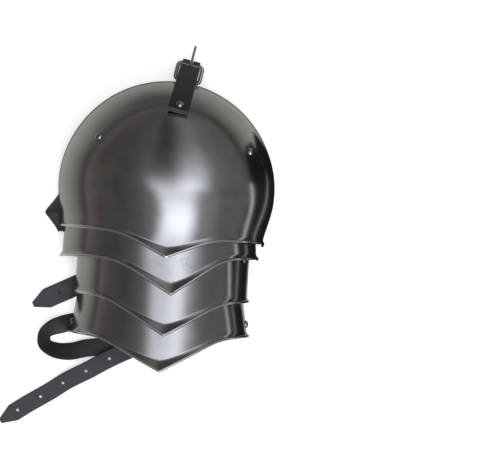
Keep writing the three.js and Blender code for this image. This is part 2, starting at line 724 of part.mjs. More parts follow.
// A place on the buckle's middle line: along it from the bar, and at a height over the ground
function onBuckleLine(along, height) {
  return armBar.clone().addScaledVector(buckleAlong, along).setZ(height);
}

const buckleAcross = new THREE.Vector3(-buckleAlong.y, buckleAlong.x, 0).setLength(armHalf);
const foldTurns = [-90, -45, 0, 45, 90];
const bucklePart = [
  onBuckleLine(-ARM_CHAPE_RETURN, GROUND),
  onBuckleLine(-ARM_CHAPE_RETURN / 3, GROUND),
  ...foldTurns.map((degrees) => onBuckleLine(
    foldRadius * Math.cos(degrees * DEGREES), armBar.z + foldRadius * Math.sin(degrees * DEGREES))),
  onBuckleLine(-ARM_CHAPE_RETURN / 2, GROUND + LAYER * 1.1),
  onBuckleLine(-ARM_CHAPE_RETURN, GROUND + LAYER),
].map((middle) => ({ middle, half: buckleAcross.clone() }));
const loopStations = [
  ...wallStations(-1, wallAngles),
  ...underEdge,
  ...loopRoute.map(({ out, down, heading, lean }) => {
    const place = { x: leftRivet.spot.point.x - out * LOOP_OUT, y: leftRivet.spot.point.y - down * LOOP_DOWN };
    return station(place, heading, ARM_STRAP_WIDTH, { lean });
  }),
  ...bucklePart,
];
const eyeSlot = new THREE.BoxGeometry(4 * foldRadius, slotWidth, 6 * foldRadius);
eyeSlot.rotateZ(ARM_BUCKLE_TURN * DEGREES);
eyeSlot.translate(...armBar.toArray());
const loopSections = sectionsThrough(loopStations, 2);
addMesh('arm_buckle_strap', cut(strapSheet(loopSections), [leftRivet.hole, eyeSlot]), BLACK_LEATHER);

// The fastened buckle is one piece: its tongue rests on the far side of the frame
const restHeight = WIRE_RADIUS + TONGUE_RADIUS;
const tongueRise = Math.asin(restHeight / FRAME_LENGTH);

function onArmBar(geometry) {
  geometry.rotateZ((ARM_BUCKLE_TURN - 90) * DEGREES);
  return geometry.translate(...armBar.toArray());
}

const armTongue = onArmBar(tongueGeometry(eyeRadius - 2 * REST_GAP).rotateX(tongueRise));
const armFrame = onArmBar(frameGeometry());
addMesh('arm_buckle', toGeometry(toSolid(armFrame).add(toSolid(armTongue))), WIRE);

// The long strap rises through the frame, over the fold, and comes down beside the short one
const passRadius = foldRadius + LAYER + REST_GAP / 2;
const passTurn = 58 * DEGREES;
const overFold = [
  { along: 0.7 * lowest.rimWidth, height: GROUND },
  { along: 0.45 * lowest.rimWidth, height: GROUND },
  { along: FRAME_LENGTH + 2 * LEATHER, height: GROUND },
  { along: FRAME_LENGTH - WIRE_RADIUS, height: GROUND },
  { along: FRAME_LENGTH / 2, height: (GROUND + armBar.z + passRadius) / 2 },
  { along: passRadius * Math.cos(passTurn), height: armBar.z + passRadius * Math.sin(passTurn) },
  { along: -1, height: armBar.z + passRadius },
];

// x and y are shares of the tail's reach beside and below the buckle's bar, lift is in layers of leather
const tailRoute = [
  { x: 0.06, y: 0.04, heading: 197, lift: 2.95 },
  { x: 0.13, y: 0.1, heading: 201, lift: 2.15 },
  { x: 0.2, y: 0.16, heading: 203, lift: 1.5 },
  { x: 0.29, y: 0.24, heading: 205, lift: 1.4 },
  { x: 0.4, y: 0.35, heading: 206, lift: 1.6 },
  { x: 0.54, y: 0.48, heading: 209, lift: 0.8 },
  { x: 0.66, y: 0.62, heading: 211, lift: 0 },
  { x: 0.83, y: 0.8, heading: 212, lift: 0 },
  { x: 1, y: 1, heading: 212, lift: 0 },
];
const tailReach = armBar.x + lowest.rimWidth + TAIL_OUT;
const tailDrop = TAIL_DOWN - ARM_BUCKLE_DOWN;
const footSeat = SHEET + LEATHER / 2;
const tailStations = [
  ...wallStations(1, wallAngles),
  ...[30, 60, 90].map((degrees) => ({
    middle: new THREE.Vector3(
      rightRivet.spot.point.x - footSeat - FOOT_RADIUS * (1 - Math.cos(degrees * DEGREES)),
      rightRivet.spot.point.y,
      GROUND + FOOT_RADIUS * (1 - Math.sin(degrees * DEGREES))),
    half: new THREE.Vector3(0, -armHalf, 0),
  })),
  ...overFold.map(({ along, height }) => ({
    middle: onBuckleLine(along, height), half: buckleAcross.clone().negate(),
  })),
  ...tailRoute.map(({ x, y, heading, lift }) => (
    station({ x: armBar.x - x * tailReach, y: armBar.y - y * tailDrop }, heading, ARM_STRAP_WIDTH,
      { lift: lift * LAYER }))),
];
const tailSections = pointTip(sectionsThrough(tailStations, 2));
const tailHoles = Array.from({ length: TAIL_HOLES }, (_, number) => (
  punchAt(tailSections, TAIL_FIRST_HOLE + number * TAIL_HOLE_PITCH)));
const pinTurn = new THREE.Vector3(buckleAlong.x, buckleAlong.y, Math.tan(tongueRise)).normalize();
const pinHole = barAt(armBar.clone().addScaledVector(pinTurn, TONGUE_LENGTH / 2 + eyeRadius / 2), pinTurn,
  TONGUE_RADIUS + SLOT_CLEARANCE, TONGUE_LENGTH);
addMesh('arm_strap', cut(strapSheet(tailSections), [rightRivet.hole, pinHole, ...tailHoles]), BLACK_LEATHER);

// Plates, with the holes of their rivets

for (const plate of [cop, ...lames]) {
  const inverse = plate.place.clone().invert();
  const holes = plateHoles.get(plate).map((hole) => hole.clone().applyMatrix4(inverse));
  const mesh = addMesh(plate.name, cut(plateSheet(plate), holes), STEEL);
  plate.place.decompose(mesh.position, mesh.quaternion, mesh.scale);
}

// The origin is on the ground below the middle of the whole
const box = new THREE.Box3().setFromObject(pauldron, true);
const middle = box.getCenter(new THREE.Vector3());
pauldron.position.set(-middle.x, -middle.y, -box.min.z);

export default pauldron;
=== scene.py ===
"""A steel pauldron with its leather straps, lying on a pale table and seen from above."""

import json
import math

import bmesh
import bpy
import numpy as np
from bpy.props import FloatProperty, FloatVectorProperty, IntProperty, PointerProperty
from mathutils import Matrix, Vector
from mathutils.kdtree import KDTree


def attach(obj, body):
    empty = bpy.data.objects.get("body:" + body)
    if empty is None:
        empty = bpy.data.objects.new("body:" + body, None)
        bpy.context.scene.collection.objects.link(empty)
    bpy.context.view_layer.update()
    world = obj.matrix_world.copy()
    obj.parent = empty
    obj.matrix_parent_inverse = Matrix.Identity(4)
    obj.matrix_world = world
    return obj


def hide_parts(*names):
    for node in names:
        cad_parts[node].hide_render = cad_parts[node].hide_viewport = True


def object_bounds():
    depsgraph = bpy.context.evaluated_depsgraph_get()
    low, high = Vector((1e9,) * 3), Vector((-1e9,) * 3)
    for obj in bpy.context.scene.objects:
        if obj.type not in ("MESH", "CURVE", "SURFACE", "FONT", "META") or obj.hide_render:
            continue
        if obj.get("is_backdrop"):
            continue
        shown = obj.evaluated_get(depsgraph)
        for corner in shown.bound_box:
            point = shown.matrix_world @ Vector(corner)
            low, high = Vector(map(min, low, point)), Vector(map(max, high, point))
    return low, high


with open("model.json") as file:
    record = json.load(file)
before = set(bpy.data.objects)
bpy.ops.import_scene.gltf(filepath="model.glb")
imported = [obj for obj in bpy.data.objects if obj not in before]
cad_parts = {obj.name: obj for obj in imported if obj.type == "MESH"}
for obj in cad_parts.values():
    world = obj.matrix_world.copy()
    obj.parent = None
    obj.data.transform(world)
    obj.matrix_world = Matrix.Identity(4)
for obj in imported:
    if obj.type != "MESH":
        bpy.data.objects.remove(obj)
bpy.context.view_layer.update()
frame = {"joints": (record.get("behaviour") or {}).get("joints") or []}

bl_info = {
    "name": "Steel pauldron",
    "version": (1, 0, 0),
    "blender": (4, 5, 0),
    "location": "3D View > Sidebar > Pauldron",
    "description": "Builds the plates, rivets, buckles and straps of a steel pauldron",
    "category": "Add Mesh",
}

BODY = "pauldron"

# Shapes are worked out in millimetres from the centre of the cop's dome, which lies on the ground
MM = 0.001
RIGHT_ANGLE = math.pi / 2
SHARP_DEGREES = 40

# In metres: points closer than this are one, shorter edges go, and this near a bead is on it
SAME_POINT = 2e-6
SHORTEST_EDGE = 1e-6
ON_BEAD = 1e-5

SHEET = 1.2
COP_RADIUS = 107
SKIRT_INSET = 9.5
SKIRT_RADIUS = COP_RADIUS - SKIRT_INSET
SKIRT_FALL = 62
FLARE_SLOPE = 0.42
FLARE_BEND = 0.3
FLARE_WIDTH = 6
TIP_FLARE = 2
TIP_REACH = 20
TIP_ROUNDING = 7
FLARE_LIMIT = 1.6
FLARE_ZONE = 14
BEAD_RADIUS = 1.4
BEAD_STEPS = 14
VEE_SOFTNESS = 8
CORNER_REACH = 14
OVERLAP = 16
CREST_GAP = 2.6
ARCH_HEIGHT = 6.5
ARCH_START = 55
ARCH_FULL = 20

COP = dict(name="cop", side=0.4749, drop=0.2123, vee_reach=0.4513, vee_offset=0.0492, dip=0.0287, turn=5.4)
LAMES = [
    dict(name="lame_1", step=0.2226, drop=0.3456, vee_reach=0.5333, vee_offset=0.1138, dip=0.0154, turn=1.3,
         sideways=-0.0759, side_gap=0.0236, spread=0.0205, edge=0.0667, rivet_angle=66, rivet_drop=0.0821),
    dict(name="lame_2", step=0.4021, drop=0.3364, vee_reach=0.5744, vee_offset=0.0431, dip=0.0062, turn=3.8,
         sideways=-0.0605, side_gap=0.1026, spread=0.0082, edge=0.0338, rivet_angle=69, rivet_drop=0.1333),
    dict(name="lame_3", step=0.3733, drop=0.3128, vee_reach=0.5949, vee_offset=0.0164, dip=0.0226, turn=2,
         sideways=-0.0821, side_gap=0.0441, spread=0.0759, edge=0.0359, rivet_angle=58, rivet_drop=0.0821),
]
for shape in (COP, *LAMES):
    for key in set(shape) - {"name", "turn", "rivet_angle"}:
        shape[key] *= SKIRT_RADIUS

# Places of the pits and nicks, each with its reach
MARKS = {
    "cop": [((12, -64, 98), 5), ((3, -66, 98), 4)],
    "lame_1": [((26, -77, 88), 10), ((17, -73, 92), 9)],
}

LEATHER = 2.2
REST_GAP = 0.3
WALL_GAP = 1
STRAP_WIDTH = 20
ARM_STRAP_WIDTH = 17.6
INNER_LEATHER_WIDTH = 18
TIP_LENGTH = 15
TIP_WIDTH = 5
PUNCH_RADIUS = 1.35
LAYER = LEATHER + REST_GAP
GROUND = LAYER / 2

SHANK_RADIUS = 1.6
HEAD_RADIUS = 3.9
HEAD_HEIGHT = 2.4
LOW_HEAD_RADIUS = 3.2
LOW_HEAD_HEIGHT = 0.85
TAIL_RADIUS = 3
TAIL_HEIGHT = 0.8
RIVET_SIDES = 28
RIVET_RINGS = 24
COP_RIVET_ANGLE = 47.2
COP_RIVET_SHIFT = 3.2
COP_RIVET_RISE = 41.2
ARM_RIVET_ANGLE = 85
ARM_RIVET_RISE = 9
RIGHT_RIVET_LIFT = 3
ROOT_LENGTH = 8

WIRE_RADIUS = 1.5
FRAME_INNER_WIDTH = 23
FRAME_LENGTH = 17
FRAME_CORNER = 4
FRAME_CORNER_STEPS = 8
FRAME_SIDES = 14
FRAME_SPREAD = 1.3
FRAME_SQUEEZE = 0.6
TONGUE_RADIUS = 1.15
TONGUE_LENGTH = 19.8
TONGUE_TIP_RADIUS = 1.1
TONGUE_SIDES = 12
EYE_STEPS = 32
SLOT_CLEARANCE = 0.35
SLOT_REACH = 11

CHAPE_TURN = 14.5
CHAPE_OFFSET = -7.9
CHAPE_SEAT = 0.5
CHAPE_RIVET_ANGLE = 46.1
CHAPE_WIDTH = 19.8
CHAPE_FOLD_WIDTH = 17.8
CHAPE_END = 7
CHAPE_UNDER_END = 0.4
EYE_WINDOW = (3, 6)
EYE_WINDOW_BACK = 0.8
CREASE_BACK = 1.9
HIGHLIGHT_LINE_WIDTH = 1.8
CHAPE_STEPS = 10
FOLD_STEPS = 28
FRAME_TO_EDGE = 0.5

BULGE_OUT = 15
SIDE_TAIL_OUT = 41
SIDE_LAYER = 1.25
SIDE_FALL = (-0.45, -0.5, -0.74)
SIDE_HOLE_FROM_TIP = 29

LOOP_OUT = 27
LOOP_DOWN = 26.4
EDGE_CLEARANCE = 0.8
FOOT_RADIUS = 6
ARM_BUCKLE_IN = 12
ARM_BUCKLE_DOWN = 8.9
ARM_BUCKLE_TURN = 10
ARM_CHAPE_RETURN = 20
TAIL_OUT = 77
TAIL_DOWN = 86.5
TAIL_HOLES = 5
TAIL_HOLE_PITCH = 26
TAIL_FIRST_HOLE = 20


def turned(degrees):
    """The cosine and sine of an angle in degrees."""
    return math.cos(math.radians(degrees)), math.sin(math.radians(degrees))


def unit(vector):
    return vector / np.linalg.norm(vector, axis=-1, keepdims=True)


# The buckle strap on top lies in one upright plane over the dome, through the buckle's bar
EYE_RADIUS = WIRE_RADIUS + REST_GAP + TONGUE_RADIUS
FOLD_RADIUS = WIRE_RADIUS + REST_GAP + LEATHER / 2
BAR_HEIGHT = EYE_RADIUS + TONGUE_RADIUS + REST_GAP / 2
BAR_REACH = COP_RADIUS + FRAME_TO_EDGE + WIRE_RADIUS + FRAME_LENGTH
CHAPE_ALONG = np.array([*turned(CHAPE_TURN)[::-1], 0.0])
CHAPE_ACROSS = np.array([CHAPE_ALONG[1], -CHAPE_ALONG[0], 0.0])


def in_chape_plane(along, height):
    return CHAPE_ACROSS * CHAPE_OFFSET + CHAPE_ALONG * along + np.array([0, 0, height])


BAR_MIDDLE = in_chape_plane(BAR_REACH, BAR_HEIGHT)
HINGE = np.array(next(j for j in frame["joints"] if j["name"] == "tongue_swing")["pos_m"])
OFFSET = HINGE / MM - BAR_MIDDLE


def in_frame(points):
    """Points from the dome's centre in millimetres, as points of the frame in metres."""
    return (np.asarray(points, dtype=float) + OFFSET) * MM


# Shader trees


class Value:
    """An output socket that can stand in a Python expression: each operator adds its Math node."""

    def __init__(self, tree, socket):
        self.tree = tree
        self.socket = socket

    def math(self, operation, *others, clamp=False):
        node = self.tree.nodes.new("ShaderNodeMath")
        node.operation = operation
        node.use_clamp = clamp
        for place, value in enumerate((self, *others)):
            if isinstance(value, Value):
                self.tree.links.new(value.socket, node.inputs[place])
            else:
                node.inputs[place].default_value = value
        return Value(self.tree, node.outputs[0])

    def __add__(self, other):
        return self.math("ADD", other)

    def __mul__(self, other):
        return self.math("MULTIPLY", other)

    def __sub__(self, other):
        return self.math("SUBTRACT", other)

    def __rsub__(self, other):
        return self.math("MULTIPLY", -1).math("ADD", other)

    def clamped(self):
        return self.math("ADD", 0, clamp=True)

    __radd__ = __add__
    __rmul__ = __mul__


def add_node(tree, kind, settings=None, inputs=None, output=0):
    """Adds a node: its settings come first, then the values or links of its sockets."""
    node = tree.nodes.new(kind)
    for name, value in (settings or {}).items():
        if name == "stops":
            for stop, (place, shade) in zip(ramp_stops(node, len(value)), value):
                stop.position = place
                stop.color = (shade, shade, shade, 1)
        else:
            setattr(node, name, value)
    for key, value in (inputs or {}).items():
        if isinstance(value, Value):
            tree.links.new(value.socket, node.inputs[key])
        else:
            node.inputs[key].default_value = value
    return Value(tree, node.outputs[output])


def ramp_stops(node, count):
    stops = node.color_ramp.elements
    while len(stops) < count:
        stops.new(0.5)
    return list(stops)


def apart(tree, vector):
    """The three parts of a vector."""
    return [add_node(tree, "ShaderNodeSeparateXYZ", inputs={0: vector}, output=axis) for axis in "XYZ"]


def object_place(tree):
    return add_node(tree, "ShaderNodeTexCoord", output="Object")


def noise(tree, place, scale, detail=2, roughness=0.5, stretch=(1, 1, 1), turn=(0, 0, 0), distortion=0):
    mapped = add_node(tree, "ShaderNodeMapping", inputs={
        "Vector": place, "Scale": stretch, "Rotation": turn})
    return add_node(tree, "ShaderNodeTexNoise", inputs={
        "Vector": mapped, "Scale": scale, "Detail": detail, "Roughness": roughness,
        "Distortion": distortion})


def ramp(tree, value, *stops):
    return add_node(tree, "ShaderNodeValToRGB", {"stops": stops}, {"Fac": value})


def between_colors(tree, mask, low, high):
    def shade(color):
        return color if isinstance(color, Value) else (*color, 1)
    return add_node(tree, "ShaderNodeMix", {"data_type": "RGBA"}, {0: mask, 6: shade(low), 7: shade(high)}, 2)


def ball_mask(tree, place, middle, radius):
    """One inside a ball, falling to nothing at its surface."""
    distance = add_node(tree, "ShaderNodeVectorMath", {"operation": "DISTANCE"},
                        {0: place, 1: tuple(in_frame(middle))}, "Value")
    return (1 - distance * (1 / (radius * MM))).clamped()


def distance_along(tree, place, point, direction):
    """How far a place is past a point in a direction, in metres."""
    onward = add_node(tree, "ShaderNodeVectorMath", {"operation": "DOT_PRODUCT"},
                      {0: place, 1: tuple(direction)}, "Value")
    return onward - float(in_frame(point).dot(direction))


def bumped(tree, height, distance, strength=1.0, normal=None):
    inputs = {"Height": height, "Distance": distance, "Strength": strength}
    if normal:
        inputs["Normal"] = normal
    return add_node(tree, "ShaderNodeBump", inputs=inputs)


def new_material(name, fixed, make_inputs=None):
    """A Principled material: fixed holds its constant sockets, make_inputs gives those that vary."""
    material = bpy.data.materials.new(name)
    material.use_nodes = True
    tree = material.node_tree
    shader = tree.nodes["Principled BSDF"]
    for key, value in fixed.items():
        shader.inputs[key].default_value = value
    if make_inputs:
        for key, value in make_inputs(tree, object_place(tree)).items():
            tree.links.new(value.socket, shader.inputs[key])
    return material


# Finishes


def brushed_steel(look, name, marks, has_rim_highlight=True):
    """Satin steel with fine lines around the arm, cloudy tarnish, pits near the marks, and on plates a
    painted highlight along the rim beads.
    """
    def inputs(tree, place):
        lines = noise(tree, place, 1, 3, 0.65, (30, 1300, 30))
        hair = noise(tree, place, 1, 2, 0.6, (50, 3200, 50))
        clouds = noise(tree, place, 16, 3, 0.55, distortion=0.6)
        stains = ramp(tree, noise(tree, place, 34, 4, 0.6), (0.52, 0), (0.72, 1))
        tone = (lines * 0.5 + hair * 0.3 + clouds * 0.5 - 0.25).clamped()
        color = between_colors(tree, tone, tuple(look.steel_dark), tuple(look.steel_light))
        color = between_colors(tree, stains * 0.16, color, tuple(look.steel_stain))
        if has_rim_highlight:
            # Painted highlight: the rim beads get a much paler steel colour, so that each rim shows a bright
            # line
            polish = add_node(tree, "ShaderNodeAttribute", {"attribute_name": "polish"}, output="Fac")
            color = between_colors(tree, polish * 0.65, color, tuple(look.steel_rim_highlight))
        roughness = look.steel_roughness + (lines - 0.5) * 0.1 + (clouds - 0.5) * 0.12
        height = lines * 0.6 + hair * 0.4
        if marks:
            pits = ramp(tree, noise(tree, place, 800, 2, 0.6), (0.3, 0), (0.46, 1))
            near = sum((ball_mask(tree, place, *mark) for mark in marks[1:]),
                       ball_mask(tree, place, *marks[0])).clamped()
            depth = (1 - pits) * ramp(tree, near, (0, 0), (0.6, 1))
            height = height - depth * 1.6
            color = between_colors(tree, depth * 0.25, color, tuple(look.steel_stain))
            roughness = roughness + depth * 0.2
        return {
            "Base Color": color,
            "Roughness": roughness.clamped(),
            "Normal": bumped(tree, height, 0.00003, look.brush_strength),
        }
    return new_material(name, {"Metallic": 1.0}, inputs)


def bright_wire(look):
    """Plated wire, a little scuffed."""
    def inputs(tree, place):
        scuffs = noise(tree, place, 500, 3, 0.6)
        return {
            "Base Color": between_colors(tree, scuffs, (0.2, 0.195, 0.19), (0.45, 0.44, 0.43)),
            "Roughness": (scuffs * 0.2 + 0.1).clamped(),
            "Normal": bumped(tree, scuffs, 0.00004, 0.5),
        }
    return new_material("bright wire", {"Metallic": 1.0}, inputs)


def black_leather(look, name, color, rubbed_color, finish_and_painted_light):
    """Dyed leather: fine grain, pores, a few creases, paler rubbed patches, and whatever a strap adds on top,
    such as paler cut ends, a painted highlight line and painted shade in a hole.
    """
    def inputs(tree, place):
        grain = add_node(tree, "ShaderNodeTexVoronoi", {"feature": "DISTANCE_TO_EDGE"},
                         {"Vector": place, "Scale": look.grain_per_metre})
        grain = ramp(tree, grain, (0.0, 0), (0.22, 1))
        fuzz = noise(tree, place, 1700, 3, 0.65)
        creases = ramp(tree, noise(tree, place, 120, 3, 0.6, (1, 3, 3), (0, 0, 0.5), 1.2),
                       (0.46, 1), (0.5, 0), (0.54, 1))
        rubbed = noise(tree, place, 45, 3, 0.6)
        base = between_colors(tree, rubbed, color, rubbed_color)
        base = between_colors(tree, (1 - grain) * 0.45, base, tuple(0.4 * part for part in color))
        if finish_and_painted_light:
            base = finish_and_painted_light(tree, place, base)
        return {
            "Base Color": base,
            "Roughness": (look.leather_roughness + (rubbed - 0.5) * 0.3 + (1 - grain) * 0.12).clamped(),
            "Normal": bumped(tree, grain * 0.6 + fuzz * 0.3 + creases * 0.8, 0.00012, 0.6),
        }
    return new_material(name, {"Metallic": 0.0, "Specular IOR Level": 0.55}, inputs)


def dark_leather(look, name, finish_and_painted_light=None):
    return black_leather(look, name, tuple(look.leather_color), tuple(look.leather_rubbed), finish_and_painted_light)


def pale_leather(look, name, finish_and_painted_light=None):
    return black_leather(look, name, tuple(look.strap_color), tuple(look.strap_rubbed), finish_and_painted_light)


# Meshes


def add_object(name, data):
    """A new object in the scene."""
    thing = bpy.data.objects.new(name, data)
    bpy.context.scene.collection.objects.link(thing)
    return thing


def new_piece(name, mesh, material, body, nodes):
    """A finished piece: it rides a body and stands for the CAD nodes that it replaces."""
    piece = add_object(name, mesh)
    piece.data.materials.clear()
    piece.data.materials.append(material)
    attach(piece, body)
    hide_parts(*nodes)
    return piece


def smoothed(mesh, sharp=SHARP_DEGREES):
    """The mesh shaded smooth, apart from its sharp edges."""
    for polygon in mesh.polygons:
        polygon.use_smooth = True
    mesh.set_sharp_from_angle(angle=math.radians(sharp))
    return mesh


def mesh_from(name, points, faces, sharp=SHARP_DEGREES):
    """A closed smooth mesh: equal points are merged and its faces point outwards."""
    mesh = bpy.data.meshes.new(name)
    mesh.from_pydata([tuple(point) for point in in_frame(points)], [], faces)
    shape = bmesh.new()
    shape.from_mesh(mesh)
    bmesh.ops.remove_doubles(shape, verts=shape.verts, dist=SAME_POINT)
    bmesh.ops.dissolve_degenerate(shape, edges=shape.edges, dist=SHORTEST_EDGE)
    bmesh.ops.recalc_face_normals(shape, faces=shape.faces)
    shape.to_mesh(mesh)
    shape.free()
    return smoothed(mesh, sharp)


def ring_faces(rings, size, closed=False):
    """Quads between rings of as many points each, and a cap on each end of an open row."""
    faces = []
    for ring in range(rings if closed else rings - 1):
        here, there = ring * size, (ring + 1) % rings * size
        for spot in range(size):
            after = (spot + 1) % size
            faces.append((here + spot, here + after, there + after, there + spot))
    if not closed:
        faces.append(tuple(range(size)))
        faces.append(tuple(reversed(range((rings - 1) * size, rings * size))))
    return faces


def evaluated_mesh(piece):
    """What a piece's modifiers make of it, as a plain mesh."""
    bpy.context.view_layer.update()
    graph = bpy.context.evaluated_depsgraph_get()
    return bpy.data.meshes.new_from_object(piece.evaluated_get(graph))


def with_holes(mesh, bars):
    """The mesh with a round or flat bar cut out of it for each hole."""
    if not bars:
        return mesh
    piece = add_object("punched", mesh)
    tools = []
    for bar in bars:
        tool = add_object("punch", bar)
        tools.append(tool)
        cut = piece.modifiers.new("hole", "BOOLEAN")
        cut.operation = "DIFFERENCE"
        cut.solver = "EXACT"
        cut.object = tool
    punched = evaluated_mesh(piece)
    for spare in (piece, *tools):
        bpy.data.objects.remove(spare)
    return smoothed(punched)


def bar_mesh(middle, direction, radius, length, sides=24):
    """A round bar through a point, to punch a hole with."""
    along = unit(np.asarray(direction, dtype=float))
    across = unit(np.cross(along, (0.3, 0.5, 0.8)))
    third = np.cross(along, across)
    angles = np.linspace(0, 2 * math.pi, sides, endpoint=False)
    circle = radius * (np.cos(angles)[:, None] * across + np.sin(angles)[:, None] * third)
    points = np.concatenate([middle + circle - along * length / 2, middle + circle + along * length / 2])
    return mesh_from("bar", points, ring_faces(2, sides))


def box_mesh(middle, along, size):
    """A box whose first side runs along a level direction."""
    along = np.asarray(along, dtype=float)
    across = np.array([-along[1], along[0], 0])
    up = np.array([0, 0, 1.0])
    corners = [(-1, -1), (1, -1), (1, 1), (-1, 1)]
    points = [middle + along * end * size[0] / 2 + across * a * size[1] / 2 + up * b * size[2] / 2
              for end in (-1, 1) for a, b in corners]
    return mesh_from("box", points, ring_faces(2, 4))


# Plates: a surface over an angle around the arm, -90 to 90 degrees, and a height along it


def soft_ramp(value):
    return VEE_SOFTNESS * np.logaddexp(0, value / VEE_SOFTNESS)


def rim_drop(shape, angle, radius, rounding=0):
    """How far the rim has dropped at an angle: a point whose straight sides fade into the level side."""
    from_point = np.hypot(angle * radius - shape["vee_offset"], rounding)
    from_corner = (RIGHT_ANGLE - np.abs(angle)) * radius
    vee = soft_ramp(shape["vee_reach"] - from_point) / soft_ramp(shape["vee_reach"])
    corner = np.maximum(0, 1 - from_corner / CORNER_REACH) ** 2
    return shape["drop"] * vee + shape["dip"] * corner


def flare_width(shape, angle, radius):
    """The flare reaches furthest up the plate over the rim's point."""
    from_point = angle * radius - shape["vee_offset"]
    return FLARE_WIDTH + TIP_FLARE * np.exp(-(from_point / TIP_REACH) ** 2)


class Cop:
    """The dome, and the skirt that narrows to the first lame."""

    def __init__(self):
        self.shape = COP
        self.rim_width = SKIRT_RADIUS
        self.rim_crest = SKIRT_RADIUS
        self.sideways = 0
        self.level = 0
        self.turn = COP["turn"]

    def rim(self, angle, rounding=0):
        return -COP["side"] - rim_drop(COP, angle, SKIRT_RADIUS, rounding)

    def half_width(self, y):
        dome = np.sqrt(np.maximum(0, COP_RADIUS**2 - y**2))
        fall = np.clip(-y / SKIRT_FALL, 0, 1)
        skirt = SKIRT_RADIUS + (COP_RADIUS - SKIRT_RADIUS) * (1 + np.cos(math.pi * fall)) / 2
        return np.where(y >= 0, dome, skirt)

    def crest(self, y):
        return self.half_width(y)

    def edge(self, y):
        share = np.clip((ARCH_START - y) / (ARCH_START - ARCH_FULL), 0, 1)
        return ARCH_HEIGHT * share * share * (3 - 2 * share)

    def height_at(self, share, angle):
        quarter = COP_RADIUS * RIGHT_ANGLE
        along = share * (quarter - self.rim(angle) - FLARE_ZONE)
        return np.where(along < quarter, COP_RADIUS * np.cos(along / COP_RADIUS), quarter - along)


class Lame:
    """An arm plate, sized to fit inside the plate above it."""

    def __init__(self, shape, above, level):
        self.shape = shape
        self.above = above
        self.level = level
        self.sideways = shape["sideways"]
        self.turn = shape["turn"]
        self.top_level = shape["step"] + OVERLAP
        self.top_width = above.rim_width - SHEET - shape["side_gap"]
        self.rim_crest = above.rim_crest - SHEET - CREST_GAP
        self.rim_width = self.top_width + shape["spread"]

    def rim(self, angle, rounding=0):
        return -rim_drop(self.shape, angle, self.rim_width, rounding)

    def top(self, angle):
        return self.top_level - rim_drop(self.above.shape, angle, self.rim_width)

    def half_width(self, y):
        return self.top_width + self.shape["spread"] * np.clip(1 - y / self.top_level, 0, 1)

    def crest(self, y):
        return self.rim_crest + 0 * y

    def edge(self, y):
        return self.shape["edge"] + 0 * y

    def height_at(self, share, angle):
        return self.top(angle) * (1 - share) + (self.rim(angle) + FLARE_ZONE) * share


def make_plates_list():
    plates = [Cop()]
    level = -COP["side"]
    for shape in LAMES:
        level -= shape["step"]
        plates.append(Lame(shape, plates[-1], level))
    return plates


PLATES = make_plates_list()
cop, lames, lowest = PLATES[0], PLATES[1:], PLATES[-1]


def outer_point(plate, angle, y):
    """The outer surface at an angle and a height, with the flare along the rim."""
    to_rim = y - plate.rim(angle, TIP_ROUNDING)
    width = flare_width(plate.shape, angle, plate.rim_width)
    past_bend = np.hypot(np.clip(1 - to_rim / width, 0, FLARE_LIMIT), FLARE_BEND) - FLARE_BEND
    flare = FLARE_SLOPE * width * past_bend / (math.hypot(1, FLARE_BEND) - FLARE_BEND)
    edge = plate.edge(y)
    return np.stack(np.broadcast_arrays(
        (plate.half_width(y) + flare) * np.sin(angle),
        y,
        edge + (plate.crest(y) - edge + flare) * np.cos(angle)), axis=-1)


def outer_normal(plate, angle, y):
    step = 1e-3
    around = outer_point(plate, angle + step, y) - outer_point(plate, angle - step, y)
    higher = np.where(plate.half_width(y + step) > 0, y + step, y)
    along = outer_point(plate, angle, higher) - outer_point(plate, angle, y - step)
    normal = np.cross(around, along)
    pole = (plate.half_width(y) < step) | (np.linalg.norm(normal, axis=-1) < 1e-12)
    normal = np.where(np.asarray(pole)[..., None], np.array([0, 1.0, 0]), normal)
    return unit(normal)


def placed(plate, points, direction=False):
    """Points or directions of a plate turned and moved to where the plate lies."""
    cosine, sine = turned(-plate.turn)
    x = points[..., 0] * cosine - points[..., 1] * sine
    y = points[..., 0] * sine + points[..., 1] * cosine
    if not direction:
        x = x + plate.sideways
        y = y + plate.level
    return np.stack([x, y, points[..., 2]], axis=-1)


def spot_on(plate, angle, y, depth):
    """A point at a depth below a plate's outer surface, and the way out of the plate there."""
    angle, y = np.float64(angle), np.float64(y)
    normal = outer_normal(plate, angle, y)
    point = outer_point(plate, angle, y) - normal * depth
    return placed(plate, point), placed(plate, normal, True)


